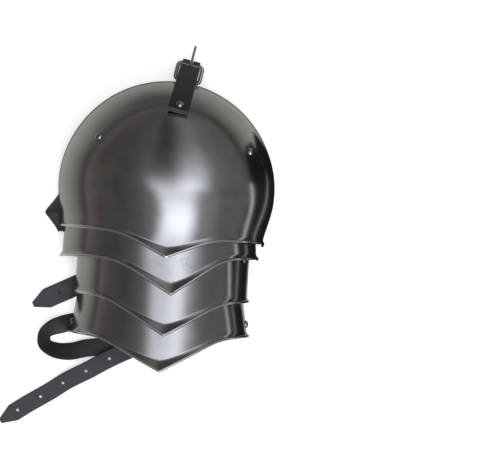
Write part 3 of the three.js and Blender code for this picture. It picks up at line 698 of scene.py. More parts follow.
def plate_mesh(plate, columns_per_side, rows, flare_rows):
    """The plate as a closed sheet with a beaded rim, and a column of points through its tip."""
    tip_angle = plate.shape["vee_offset"] / plate.half_width(plate.rim(np.float64(0)))
    shares = np.linspace(-1, 1, 2 * columns_per_side + 1)
    angles = np.where(shares < 0,
                      tip_angle + (RIGHT_ANGLE + tip_angle) * shares,
                      tip_angle + (RIGHT_ANGLE - tip_angle) * shares)
    heights = [plate.height_at(row / rows, angles) for row in range(rows + 1)]
    neck = math.acos(SHEET / 2 / BEAD_RADIUS)
    lip = BEAD_RADIUS * (1 + math.sin(neck))
    for row in range(1, flare_rows + 1):
        heights.append(plate.rim(angles) + lip + (FLARE_ZONE - lip) * (1 - row / flare_rows))
    angle, y = np.broadcast_arrays(angles[None, :], np.array(heights))
    outer = outer_point(plate, angle, y)
    normal = outer_normal(plate, angle, y)
    inner = outer - normal * SHEET
    onwards = unit(outer[-1] - outer[-2])
    turns = np.linspace(-neck, math.pi + neck, BEAD_STEPS)[1:-1]
    bead = (outer[-1] + inner[-1]) / 2 + onwards * BEAD_RADIUS * math.sin(neck)
    lips = [bead + BEAD_RADIUS * (normal[-1] * math.cos(turn) + onwards * math.sin(turn)) for turn in turns]
    ring = np.concatenate([outer, np.array(lips), inner[::-1]], axis=0)
    points = placed(plate, ring.transpose(1, 0, 2))
    columns, size = points.shape[:2]
    faces = [face for face in ring_faces(columns, size) if len(face) == 4]
    last = len(heights) - 1
    for column in (0, columns - 1):
        start = column * size
        for row in range(last):
            faces.append((start + row, start + row + 1, start + size - 2 - row, start + size - 1 - row))
        faces.append(tuple(start + spot for spot in range(last, size - last)))
    mesh = mesh_from(plate.shape["name"] + "_mesh", points.reshape(-1, 3), faces)
    beads = in_frame(placed(plate, np.array(lips)).reshape(-1, 3))
    tree = KDTree(len(beads))
    for number, bead_point in enumerate(beads):
        tree.insert(bead_point, number)
    tree.balance()
    # Marks the bead points, which get the painted highlight in the steel's colour
    polish = mesh.attributes.new("polish", "FLOAT", "POINT")
    near = [tree.find(vertex.co)[2] < ON_BEAD for vertex in mesh.vertices]
    polish.data.foreach_set("value", np.array(near, dtype=float))
    return mesh


# Straps: rows of sections, each with a middle, half of its width as a vector, and a normal


def through(points, count):
    """A centripetal curve through points, read at evenly spaced shares of its spans."""
    points = np.asarray(points, dtype=float)
    spans = len(points) - 1
    extended = np.concatenate([[2 * points[0] - points[1]], points, [2 * points[-1] - points[-2]]])
    read = []
    for number in range(count + 1):
        place = spans * number / count
        span = min(int(place), spans - 1)
        share = place - span
        p0, p1, p2, p3 = extended[span:span + 4]
        d0, d1, d2 = [np.linalg.norm(b - a) ** 0.5 for a, b in ((p0, p1), (p1, p2), (p2, p3))]
        d1 = d1 if d1 > 1e-4 else 1.0
        d0 = d0 if d0 > 1e-4 else d1
        d2 = d2 if d2 > 1e-4 else d1
        t1 = ((p1 - p0) / d0 - (p2 - p0) / (d0 + d1) + (p2 - p1) / d1) * d1
        t2 = ((p2 - p1) / d1 - (p3 - p1) / (d1 + d2) + (p3 - p2) / d2) * d1
        c2 = -3 * p1 + 3 * p2 - 2 * t1 - t2
        c3 = 2 * p1 - 2 * p2 + t1 + t2
        read.append(p1 + t1 * share + c2 * share**2 + c3 * share**3)
    return np.array(read)


def sections_through(stations, per_span):
    count = (len(stations) - 1) * per_span
    middles = through([middle for middle, _ in stations], count)
    halves = through([half for _, half in stations], count)
    halves = unit(halves) * np.linalg.norm(stations[0][1])
    normals = unit(np.cross(np.gradient(middles, axis=0), halves))
    return [(middle, half, normal) for middle, half, normal in zip(middles, halves, normals)]


def between(first, second, share):
    """A section at a share of the way from one section to another."""
    return tuple(a + (b - a) * share for a, b in zip(first, second))


def section_from_end(sections, distance):
    """The section at a distance from the strap's end, and the number of the one before it."""
    left = distance
    for number in range(len(sections) - 1, 0, -1):
        here, before = sections[number], sections[number - 1]
        length = np.linalg.norm(here[0] - before[0])
        if left <= length:
            return number - 1, between(here, before, left / length)
        left -= length
    return 0, sections[0]


def point_tip(sections):
    """Narrows the end to a blunt point."""
    before, shoulder = section_from_end(sections, TIP_LENGTH)
    middle, half, normal = sections[-1]
    tip = (middle, unit(half) * TIP_WIDTH / 2, normal)
    return sections[:before + 1] + [between(shoulder, tip, share) for share in (0, 0.25, 0.5, 0.75, 1)]


def strap_profile(half_width, corner=0.7, corner_steps=3, across=8):
    """The cut across a strap: points with a share of the half width and a height over the middle."""
    half_thickness = LEATHER / 2
    inner = half_width - corner
    corner_points = []
    for step in range(corner_steps + 1):
        turn = RIGHT_ANGLE * step / corner_steps
        corner_points.append((inner + corner * math.cos(turn),
                              half_thickness - corner + corner * math.sin(turn)))
    top = corner_points + [(inner * (1 - 2 * step / across), half_thickness) for step in range(1, across)]
    top += [(-x, z) for x, z in reversed(corner_points)]
    return top + [(-x, -z) for x, z in top]


def strap_mesh(name, sections, holes):
    points = []
    for middle, half, normal in sections:
        half_width = np.linalg.norm(half)
        for x, z in strap_profile(half_width):
            points.append(middle + half * (x / half_width) + normal * z)
    size = len(strap_profile(STRAP_WIDTH / 2))
    return with_holes(mesh_from(name, points, ring_faces(len(sections), size), 50), holes)


def new_strap(name, sections, holes, leather, node):
    """A finished strap that rides the plates."""
    mesh = strap_mesh(name, sections, holes)
    return new_piece(name, mesh, leather, BODY, [node])


def punch_at(sections, from_tip, floor=-LEATHER):
    """A bar through a strap, or down to a floor that is measured from the strap's middle."""
    _, (middle, _, normal) = section_from_end(sections, from_tip)
    return bar_mesh(middle + normal * (floor + 2 * LEATHER), normal, PUNCH_RADIUS, 4 * LEATHER)


def station(place, heading, width, lean=0, lift=0, folded=1):
    """A station over the ground: lean lifts the outer edge and lift is what the strap lies on."""
    cosine, sine = turned(heading)
    flat, tilt = turned(lean)
    half = np.array([-sine * flat, cosine * flat, -tilt])
    rise = GROUND + width / 2 * tilt + lift
    return np.array([place[0], place[1], rise]), half * folded * width / 2


def seat_depth(half_width, radius, layer):
    bow = half_width**2 / (2 * radius)
    return SHEET + bow + WALL_GAP + LEATHER / 2 + layer * LAYER


def leather_station(plate, angle, y):
    half_width = INNER_LEATHER_WIDTH / 2
    point, normal = spot_on(plate, angle, y, seat_depth(half_width, plate.half_width(np.float64(y)), 0))
    ahead = spot_on(plate, angle, y - 1, 0)[0] - spot_on(plate, angle, y + 1, 0)[0]
    return point, unit(np.cross(normal, ahead)) * half_width


def cop_rivet_angle(side):
    """The cop's rivets lie to the right of even, because the dome is turned."""
    return math.radians(side * COP_RIVET_ANGLE + COP_RIVET_SHIFT)


def leather_stations(side):
    cop_angle = cop_rivet_angle(side)
    stations = [leather_station(cop, cop_angle, COP_RIVET_RISE + rise)
                for rise in (ROOT_LENGTH, 0, -ROOT_LENGTH * 1.5)]
    for lame in lames:
        angle = side * math.radians(lame.shape["rivet_angle"])
        top = lame.top(angle)
        rivet = top - lame.shape["rivet_drop"]
        for y in (top + TAIL_RADIUS, rivet + TAIL_RADIUS, rivet, rivet - TAIL_RADIUS * 1.5):
            stations.append(leather_station(lame, angle, y))
    end_angle = side * math.radians(lowest.shape["rivet_angle"])
    end = lowest.top(end_angle) - lowest.shape["rivet_drop"] - ROOT_LENGTH
    stations.append(leather_station(lowest, end_angle, end))
    return stations


# The buckle strap on top


def arc_sections(centre_along, centre_height, radius, start, end, steps, outward):
    """Sections along an arc, narrower past the bar."""
    sections = []
    for number in range(steps + 1):
        angle = start + (end - start) * number / steps
        cosine, sine = math.cos(angle), math.sin(angle)
        middle = in_chape_plane(centre_along + radius * cosine, centre_height + radius * sine)
        normal = (CHAPE_ALONG * cosine + np.array([0, 0, sine])) * outward
        past_bar = centre_along + radius * cosine > BAR_REACH - CREASE_BACK
        width = CHAPE_FOLD_WIDTH if past_bar else CHAPE_WIDTH
        sections.append((middle, CHAPE_ACROSS * -width / 2, normal))
    return sections


def chape_sections():
    under_radius = COP_RADIUS + CHAPE_SEAT + LEATHER / 2
    over_radius = under_radius + LEATHER + REST_GAP
    bar_distance = math.hypot(BAR_REACH, BAR_HEIGHT)
    bar_angle = math.atan2(BAR_HEIGHT, BAR_REACH)
    over_leaves = bar_angle + math.acos((over_radius - FOLD_RADIUS) / bar_distance)
    under_leaves = bar_angle + math.acos((under_radius + FOLD_RADIUS) / bar_distance)
    over_end = math.radians(CHAPE_RIVET_ANGLE) + CHAPE_END / over_radius
    under_end = over_end + CHAPE_UNDER_END / under_radius
    return [
        *arc_sections(0, 0, over_radius, over_end, over_leaves, CHAPE_STEPS, 1),
        *arc_sections(BAR_REACH, BAR_HEIGHT, FOLD_RADIUS, over_leaves, under_leaves - math.pi, FOLD_STEPS, 1),
        *arc_sections(0, 0, under_radius, under_leaves, under_end, CHAPE_STEPS, -1),
    ]


def chape_wear_and_highlight(tree, place, base, worn_and_highlight):
    """Paler at the cut ends, and a painted highlight in a line across the strap beside the bar."""
    over_radius = COP_RADIUS + CHAPE_SEAT + LEATHER + REST_GAP + LEATHER / 2
    end_angle = math.radians(CHAPE_RIVET_ANGLE) + CHAPE_END / over_radius
    end = in_chape_plane(over_radius * math.cos(end_angle), over_radius * math.sin(end_angle))
    onward = np.array([0, 0, math.cos(end_angle)]) - CHAPE_ALONG * math.sin(end_angle)
    past_end = distance_along(tree, place, end, onward)
    # Painted highlight: a pale line across the strap where the leather rides over the buckle's bar
    crease = distance_along(tree, place, BAR_MIDDLE - CHAPE_ALONG * CREASE_BACK, CHAPE_ALONG).math("ABSOLUTE")
    line = (2 - crease * (4 / (HIGHLIGHT_LINE_WIDTH * MM))).clamped()
    return between_colors(tree, ((past_end * (2 / MM) + 1).clamped() * 0.2 + line).clamped(), base, worn_and_highlight)


def chape_rivet_spot():
    cosine, sine = turned(CHAPE_RIVET_ANGLE)
    normal = CHAPE_ALONG * cosine + np.array([0, 0, sine])
    return in_chape_plane(COP_RADIUS * cosine, COP_RADIUS * sine), normal


# The side strap


def beside_plate(plate_width, sideways, level, step, x, y):
    return sideways + plate_width * x, level + step * y


def side_sections():
    side_half = STRAP_WIDTH / 2
    root, normal = spot_on(cop, cop_rivet_angle(-1), COP_RIVET_RISE,
                           seat_depth(side_half, COP_RADIUS, SIDE_LAYER))
    fall = np.array(SIDE_FALL)
    downhill = unit(fall - normal * fall.dot(normal))
    stations = []
    for along in (-ROOT_LENGTH, 0, ROOT_LENGTH):
        stations.append((root + downhill * along - normal * along**2 / (2 * COP_RADIUS),
                         unit(np.cross(normal, downhill)) * side_half))
    bulge = -1 - BULGE_OUT / COP_RADIUS
    middle_lame = lames[1]
    tail_end = -1 - SIDE_TAIL_OUT / middle_lame.rim_width
    by_cop = (COP_RADIUS, 0, 0, COP_RADIUS)
    by_lame = (middle_lame.rim_width, middle_lame.sideways, middle_lame.level, middle_lame.shape["step"])
    route = [
        (by_cop, -0.82, 0.08, 226, 5.4, 24, 1),
        (by_cop, -0.9, -0.06, 231, 0.5, 4, 1),
        (by_cop, -0.965, -0.155, 238, 0, 0, 1),
        (by_cop, bulge + 0.105, -0.24, 236, 0.2, 0, 1),
        (by_cop, bulge + 0.08, -0.295, 219, 0.95, 0, 1),
        (by_cop, bulge + 0.12, -0.305, 10, 1.75, 0, -1),
        (by_cop, -0.97, -0.3, -6, 1.3, 0, -1),
        (by_cop, -0.88, -0.33, -14, 1, 0, -1),
        (by_cop, -0.74, -0.395, -20, 0, 0, -1),
        (by_cop, -0.49, -0.485, -20, 0, 0, -1),
        (by_cop, -0.34, -0.545, -18, 0.05, 0, -1),
        (by_lame, -0.264, 1.13, 180, 0.85, 0, 1),
        (by_lame, -0.33, 0.98, 196, 1.65, 0, 1),
        (by_lame, -0.468, 0.82, 203, 1.05, 0, 1),
        (by_lame, -0.66, 0.61, 204, 0, 0, 1),
        (by_lame, -1.02, 0.25, 204, 0, 0, 1),
        (by_lame, tail_end + 0.2, 0, 204, 0, 0, 1),
        (by_lame, tail_end, -0.2, 204, 0, 0, 1),
    ]
    for plate, x, y, heading, lift, lean, folded in route:
        stations.append(station(beside_plate(*plate, x, y), heading, STRAP_WIDTH, lean, lift * LAYER, folded))
    return point_tip(sections_through(stations, 8))


# The arm loop


def arm_rivet_rise(side):
    return ARM_RIVET_RISE if side < 0 else ARM_RIVET_RISE + RIGHT_RIVET_LIFT


def wall_stations(side):
    """Inside the wall of the lowest lame, from above its rivet down to near its edge."""
    stations = []
    rise = arm_rivet_rise(side)
    for degrees in (75, 80, ARM_RIVET_ANGLE, 88):
        angle = side * math.radians(degrees)
        point, _ = spot_on(lowest, angle, rise, SHEET + WALL_GAP + LEATHER / 2)
        surface, _ = spot_on(lowest, angle, rise, 0)
        below, _ = spot_on(lowest, angle, rise - 1, 0)
        stations.append((point, unit(below - surface) * ARM_STRAP_WIDTH / 2))
    return stations


def arm_rivet_spot(side):
    return spot_on(lowest, side * math.radians(ARM_RIVET_ANGLE), arm_rivet_rise(side), 0)


BUCKLE_ALONG = np.array([*turned(ARM_BUCKLE_TURN), 0.0])
ARM_BAR = np.array([lowest.sideways - ARM_BUCKLE_IN, lowest.level - ARM_BUCKLE_DOWN, GROUND + FOLD_RADIUS])


def on_buckle_line(along, height):
    """A place on the arm buckle's middle line, along it from the bar and over the ground."""
    place = ARM_BAR + BUCKLE_ALONG * along
    place[2] = height
    return place


def loop_sections():
    arm_half = ARM_STRAP_WIDTH / 2
    point, _ = arm_rivet_spot(-1)
    angle, rise = np.float64(-RIGHT_ANGLE), np.float64(ARM_RIVET_RISE)
    edge_high = outer_point(lowest, angle, rise)
    edge_low = outer_point(lowest, angle, rise - 1)
    edge_middle = placed(lowest, edge_high + np.array([SHEET, 0, 0]))
    edge_half = unit(placed(lowest, edge_low - edge_high, True)) * arm_half
    wrap = LEATHER / 2 + EDGE_CLEARANCE
    stations = wall_stations(-1)
    for degrees in (0, -35, -70):
        cosine, sine = turned(degrees)
        stations.append((edge_middle + np.array([wrap * cosine, 0, wrap * sine]), edge_half))
    route = [
        (0.2, 0.06, 182, 0),
        (0.42, 0.12, 190, 12),
        (0.75, 0.24, 208, 32),
        (1, 0.46, 243, 50),
        (1, 0.8, 294, 50),
        (0.64, 1.05, 336, 38),
        (0.1, 1.12, 358, 20),
        (-0.5, 1.01, 366, 4),
        (-1.2, 0.95, 370, 0),
    ]
    for out, down, heading, lean in route:
        place = (point[0] - out * LOOP_OUT, point[1] - down * LOOP_DOWN)
        stations.append(station(place, heading, ARM_STRAP_WIDTH, lean))
    across = np.array([-BUCKLE_ALONG[1], BUCKLE_ALONG[0], 0]) * arm_half
    middles = [on_buckle_line(-ARM_CHAPE_RETURN, GROUND), on_buckle_line(-ARM_CHAPE_RETURN / 3, GROUND)]
    for degrees in (-90, -45, 0, 45, 90):
        cosine, sine = turned(degrees)
        middles.append(on_buckle_line(FOLD_RADIUS * cosine, ARM_BAR[2] + FOLD_RADIUS * sine))
    middles.append(on_buckle_line(-ARM_CHAPE_RETURN / 2, GROUND + LAYER * 1.1))
    middles.append(on_buckle_line(-ARM_CHAPE_RETURN, GROUND + LAYER))
    stations += [(middle, across) for middle in middles]
    return sections_through(stations, 7)


TONGUE_RISE = math.asin((WIRE_RADIUS + TONGUE_RADIUS) / FRAME_LENGTH)


def tail_sections():
    arm_half = ARM_STRAP_WIDTH / 2
    point, _ = arm_rivet_spot(1)
    stations = wall_stations(1)
    seat = SHEET + LEATHER / 2
    for degrees in (30, 60, 90):
        cosine, sine = turned(degrees)
        middle = np.array([point[0] - seat - FOOT_RADIUS * (1 - cosine), point[1],
                           GROUND + FOOT_RADIUS * (1 - sine)])
        stations.append((middle, np.array([0, -arm_half, 0])))
    pass_radius = FOLD_RADIUS + LAYER + REST_GAP / 2
    cosine, sine = turned(58)
    over_fold = [
        (0.7 * lowest.rim_width, GROUND),
        (0.45 * lowest.rim_width, GROUND),
        (FRAME_LENGTH + 2 * LEATHER, GROUND),
        (FRAME_LENGTH - WIRE_RADIUS, GROUND),
        (FRAME_LENGTH / 2, (GROUND + ARM_BAR[2] + pass_radius) / 2),
        (pass_radius * cosine, ARM_BAR[2] + pass_radius * sine),
        (-1, ARM_BAR[2] + pass_radius),
    ]
    across = np.array([BUCKLE_ALONG[1], -BUCKLE_ALONG[0], 0]) * arm_half
    stations += [(on_buckle_line(along, height), across) for along, height in over_fold]
    reach = ARM_BAR[0] + lowest.rim_width + TAIL_OUT
    drop = TAIL_DOWN - ARM_BUCKLE_DOWN
    route = [
        (0.06, 0.04, 197, 2.95),
        (0.13, 0.1, 201, 2.15),
        (0.2, 0.16, 203, 1.5),
        (0.29, 0.24, 205, 1.4),
        (0.4, 0.35, 206, 1.6),
        (0.54, 0.48, 209, 0.8),
        (0.66, 0.62, 211, 0),
        (0.83, 0.8, 212, 0),
        (1, 1, 212, 0),
    ]
    for x, y, heading, lift in route:
        place = (ARM_BAR[0] - x * reach, ARM_BAR[1] - y * drop)
        stations.append(station(place, heading, ARM_STRAP_WIDTH, 0, lift * LAYER))
    return point_tip(sections_through(stations, 7))


# Wire pieces: the bar lies on the X axis and the frame reaches along +Y


def together(*shapes):
    """Several shapes as one, each given by its points and its faces."""
    faces = []
    start = 0
    for points, own_faces in shapes:
        faces += [tuple(spot + start for spot in face) for face in own_faces]
        start += len(points)
    return np.concatenate([points for points, _ in shapes]), faces


def tube(points, radius, sides, closed=True, spread=1):
    """Rings around a line of points: radius is one number, or one for each point, and so is spread,
    which widens the wire in the plane of the line."""
    points = np.asarray(points, dtype=float)
    radii = np.broadcast_to(radius, len(points))
    spreads = np.broadcast_to(spread, len(points))
    if closed:
        tangents = unit(np.roll(points, -1, 0) - np.roll(points, 1, 0))
    else:
        tangents = unit(np.gradient(points, axis=0))
    across = unit(np.cross(tangents, (0.02, 0.03, 1.0)))
    third = np.cross(tangents, across)
    angles = np.linspace(0, 2 * math.pi, sides, endpoint=False)
    rings = [point + r * (np.cos(angles)[:, None] * a * wide + np.sin(angles)[:, None] * b)
             for point, r, wide, a, b in zip(points, radii, spreads, across, third)]
    return np.concatenate(rings), ring_faces(len(points), sides, closed)


def frame_tube():
    """The buckle's frame: a rectangle of wire with round corners, round at the bar and flatter elsewhere."""
    half = FRAME_INNER_WIDTH / 2 + WIRE_RADIUS - FRAME_SQUEEZE
    corners = [np.array(corner, dtype=float) for corner in (
        (-half, 0, 0), (half, 0, 0), (half, FRAME_LENGTH, 0), (-half, FRAME_LENGTH, 0))]
    points = []
    for number, corner in enumerate(corners):
        before = corner + unit(corners[number - 1] - corner) * FRAME_CORNER
        after = corner + unit(corners[(number + 1) % 4] - corner) * FRAME_CORNER
        for step in range(FRAME_CORNER_STEPS + 1):
            share = step / FRAME_CORNER_STEPS
            points.append(before * (1 - share)**2 + corner * 2 * share * (1 - share) + after * share**2)
        onward = corners[(number + 1) % 4] + unit(corner - corners[(number + 1) % 4]) * FRAME_CORNER
        points += [after + (onward - after) * share for share in (0.2, 0.4, 0.6, 0.8)]
    points = np.array(points)
    away_from_bar = np.clip(points[:, 1] / FRAME_CORNER, 0, 1)
    return tube(points, WIRE_RADIUS, FRAME_SIDES, spread=1 + (FRAME_SPREAD - 1) * away_from_bar)


def tongue_tube(eye_radius):
    """The buckle's tongue: a ring around the bar and a tapered pin with a round end."""
    turns = np.linspace(0, 2 * math.pi, EYE_STEPS, endpoint=False)
    ring = np.stack([0 * turns, eye_radius * np.cos(turns), eye_radius * np.sin(turns)], axis=-1)
    angles = np.linspace(0, 2 * math.pi, TONGUE_SIDES, endpoint=False)
    rings = []
    for point in ring:
        out = unit(point)
        rings.append(point + TONGUE_RADIUS * (np.cos(angles)[:, None] * out
                                              + np.sin(angles)[:, None] * np.array([1.0, 0, 0])))
    eye = (np.concatenate(rings), ring_faces(EYE_STEPS, TONGUE_SIDES, True))
    steps = np.linspace(0, 1, 12)
    reach = TONGUE_LENGTH - eye_radius - TONGUE_TIP_RADIUS
    pin = [(0, eye_radius + reach * step, 0) for step in steps]
    radii = [TONGUE_RADIUS + (TONGUE_TIP_RADIUS - TONGUE_RADIUS) * step for step in steps]
    for turn in np.linspace(0, RIGHT_ANGLE, 6)[1:]:
        pin.append((0, eye_radius + reach + TONGUE_TIP_RADIUS * math.sin(turn), 0))
        radii.append(max(0.02, TONGUE_TIP_RADIUS * math.cos(turn)))
    return together(eye, tube(pin, np.array(radii), TONGUE_SIDES, False))


def turned_about_bar(points, tilt, heading, middle):
    """Turns wire points about the bar by tilt, then about the vertical by heading, and moves them."""
    cosine, sine = math.cos(tilt), math.sin(tilt)
    x, y, z = points.T
    y, z = y * cosine - z * sine, y * sine + z * cosine
    cosine, sine = math.cos(heading), math.sin(heading)
    return np.stack([x * cosine - y * sine, x * sine + y * cosine, z], axis=-1) + middle


# Settings


class PauldronLook(bpy.types.PropertyGroup):
    """Colours and surface of the metal and the leather, with the colours of their painted highlights."""
    steel_light: FloatVectorProperty(
        name="Steel, light", description="Colour of the polished steel",
        subtype="COLOR", default=(0.46, 0.465, 0.475), min=0, max=1)
    steel_dark: FloatVectorProperty(
        name="Steel, dark", description="Colour of the steel in its brush lines",
        subtype="COLOR", default=(0.34, 0.345, 0.355), min=0, max=1)
    steel_stain: FloatVectorProperty(
        name="Steel, stained", description="Colour of stains and pits",
        subtype="COLOR", default=(0.12, 0.105, 0.095), min=0, max=1)
    # Painted highlight: the pale colour given to the rim beads so that they show a bright line
    steel_rim_highlight: FloatVectorProperty(
        name="Steel, rims", description="Colour of the steel that wear has polished along the rims",
        subtype="COLOR", default=(0.86, 0.86, 0.87), min=0, max=1)
    steel_roughness: FloatProperty(
        name="Steel roughness", description="How much the steel spreads its reflections",
        default=0.2, min=0, max=1)
    brush_strength: FloatProperty(
        name="Brush lines", description="Depth of the fine lines around the arm", default=0.5, min=0, max=1)
    leather_color: FloatVectorProperty(
        name="Leather", description="Colour of the dyed leather",
        subtype="COLOR", default=(0.0095, 0.0095, 0.01), min=0, max=1)
    leather_rubbed: FloatVectorProperty(
        name="Leather, rubbed", description="Colour of the leather where it is rubbed",
        subtype="COLOR", default=(0.022, 0.022, 0.024), min=0, max=1)
    # Paler leather at the cut ends, also used for the painted highlight line across the strap over the
    # buckle's bar
    leather_worn_and_highlight: FloatVectorProperty(
        name="Leather, worn", description="Colour of the leather at its cut ends and on its sharp folds",
        subtype="COLOR", default=(0.22, 0.22, 0.21), min=0, max=1)
    strap_color: FloatVectorProperty(
        name="Loose straps", description="Colour of the paler leather of the loose ends",
        subtype="COLOR", default=(0.03, 0.033, 0.037), min=0, max=1)
    strap_rubbed: FloatVectorProperty(
        name="Loose straps, rubbed", description="Colour of the loose ends where they are rubbed",
        subtype="COLOR", default=(0.055, 0.06, 0.066), min=0, max=1)
    leather_roughness: FloatProperty(
        name="Leather roughness", description="How dull the leather is", default=0.5, min=0, max=1)
    grain_per_metre: FloatProperty(
        name="Leather grain", description="Grain cells in a metre", default=900, min=100, max=4000)


class PauldronMesh(bpy.types.PropertyGroup):
    """How finely the plates are made."""
    columns: IntProperty(
        name="Columns", description="Columns of faces on each side of a plate's tip",
        default=72, min=12, max=160)
    cop_rows: IntProperty(
        name="Rows of the cop", description="Rows of faces over the cop", default=110, min=13, max=240)
    lame_rows: IntProperty(
        name="Rows of a lame", description="Rows of faces over a lame", default=22, min=4, max=80)
    flare_rows: IntProperty(
        name="Rows of the rim", description="Rows of faces in the flared rim", default=18, min=2, max=40)


class PauldronStage(bpy.types.PropertyGroup):
    """The table, the lights and the camera."""
    camera_height: FloatProperty(
        name="Camera height", description="Height of the camera over the table",
        default=1.4, min=0.5, max=5, unit="LENGTH")
    view_width: FloatProperty(
        name="View width", description="Width of the table that the camera sees",
        default=0.5, min=0.1, max=2, unit="LENGTH")
    table_color: FloatVectorProperty(
        name="Table", description="Colour of the table",
        subtype="COLOR", default=(0.9, 0.9, 0.9), min=0, max=1)
    table_glow: FloatProperty(
        name="Table glow", description="How much light the table top gives by itself",
        default=0.5, min=0, max=2)
    cloth_color: FloatVectorProperty(
        name="Cloth", description="Colour of the cloth that the steel mirrors",
        subtype="COLOR", default=(0.74, 0.74, 0.66), min=0, max=1)
    room_tint: FloatVectorProperty(
        name="Room", description="Tint of the room's dim walls",
        subtype="COLOR", default=(0.98, 1.0, 0.98), min=0, max=1)
    room_red: FloatVectorProperty(
        name="Room, red parts", description="Tint of the reddish parts of the room",
        subtype="COLOR", default=(1.0, 0.66, 0.55), min=0, max=1)
    window_tint: FloatVectorProperty(
        name="Window", description="Tint of the window's light",
        subtype="COLOR", default=(0.93, 0.94, 1.0), min=0, max=1)
    rim_glow: FloatProperty(
        name="Rim glow", description="Brightness of the pale rim that the steel mirrors on its right",
        default=1.1, min=0, max=10)
    lamp_power: FloatProperty(
        name="Lamp", description="Power of the broad lamp above", default=12, min=0, max=200, unit="POWER")


# Pieces


def look_of(context):
    return context.scene.pauldron_look


class AddPlates(bpy.types.Operator):
    """The cop and its lames as smooth sheets with rounded rims"""
    bl_idname = "pauldron.add_plates"
    bl_label = "Plates"

    def execute(self, context):
        fineness = context.scene.pauldron_mesh
        for plate in PLATES:
            name = plate.shape["name"]
            rows = fineness.cop_rows if plate is cop else fineness.lame_rows
            mesh = plate_mesh(plate, fineness.columns, rows, fineness.flare_rows)
            steel = brushed_steel(look_of(context), name + " steel", MARKS.get(name))
            new_piece(name + "_plate", mesh, steel, BODY, [name])
        return {"FINISHED"}


class AddInnerLeathers(bpy.types.Operator):
    """The leathers inside the plates, which carry the lames"""
    bl_idname = "pauldron.add_inner_leathers"
    bl_label = "Inner leathers"

    def execute(self, context):
        look = look_of(context)
        leather = dark_leather(look, "inner leather")
        for side, word in ((-1, "left"), (1, "right")):
            sections = sections_through(leather_stations(side), 8)
            new_strap(f"inner_leather_{word}", sections, [], leather, f"leather_{word}")
        return {"FINISHED"}


class AddShoulderBuckle(bpy.types.Operator):
    """The buckle strap over the dome, with its wire frame and tongue"""
    bl_idname = "pauldron.add_shoulder_buckle"
    bl_label = "Shoulder buckle"

    def execute(self, context):
        look = look_of(context)

        # Paler cut ends, and a painted highlight line across the strap over the bar
        def wear(tree, place, base):
            return chape_wear_and_highlight(tree, place, base, tuple(look.leather_worn_and_highlight))

        leather = dark_leather(look, "chape leather", wear)
        slot_width = 2 * (TONGUE_RADIUS + SLOT_CLEARANCE)
        slot = box_mesh(BAR_MIDDLE, CHAPE_ALONG, (2 * SLOT_REACH, slot_width, 2 * SLOT_REACH))
        window_middle = BAR_MIDDLE - CHAPE_ALONG * EYE_WINDOW_BACK + (0, 0, FOLD_RADIUS)
        window = box_mesh(window_middle, CHAPE_ALONG, (*EYE_WINDOW, 2 * FOLD_RADIUS))
        new_strap("shoulder_strap", chape_sections(), [slot, window], leather, "shoulder_chape")
        wire = bright_wire(look)
        heading = -math.radians(CHAPE_TURN)
        points, faces = frame_tube()
        fold_back = math.pi + math.asin((BAR_HEIGHT - WIRE_RADIUS - REST_GAP / 2) / FRAME_LENGTH)
        mesh = mesh_from("frame", turned_about_bar(points, fold_back, heading, BAR_MIDDLE), faces)
        new_piece("shoulder_frame", mesh, wire, "buckle_frame", ["shoulder_buckle_frame"])
        points, faces = tongue_tube(EYE_RADIUS)
        drop = -math.asin((BAR_HEIGHT - TONGUE_RADIUS - REST_GAP / 2) / TONGUE_LENGTH)
        mesh = mesh_from("tongue", turned_about_bar(points, drop, heading, BAR_MIDDLE), faces)
        new_piece("shoulder_tongue", mesh, wire, "buckle_tongue", ["shoulder_buckle_tongue"])
        return {"FINISHED"}


class AddSideStrap(bpy.types.Operator):
    """The strap that bulges out beside the cop and ends in a point beside the second lame"""
    bl_idname = "pauldron.add_side_strap"
    bl_label = "Side strap"

    def execute(self, context):
        look = look_of(context)
        sections = side_sections()
        _, (hole, _, _) = section_from_end(sections, SIDE_HOLE_FROM_TIP)

        # Painted shade: the hole and a small ring around it are painted near black, as if shade filled it
        def painted_hole_shade(tree, place, base):
            inside = ball_mask(tree, place, hole, 2 * PUNCH_RADIUS) * 6 - 2.6
            return between_colors(tree, inside.clamped(), base, (0.002, 0.002, 0.002))

        leather = pale_leather(look, "side leather", painted_hole_shade)
        punch = punch_at(sections, SIDE_HOLE_FROM_TIP, -LEATHER / 4)
        new_strap("side_strap_leather", sections, [punch], leather, "side_strap")
        return {"FINISHED"}


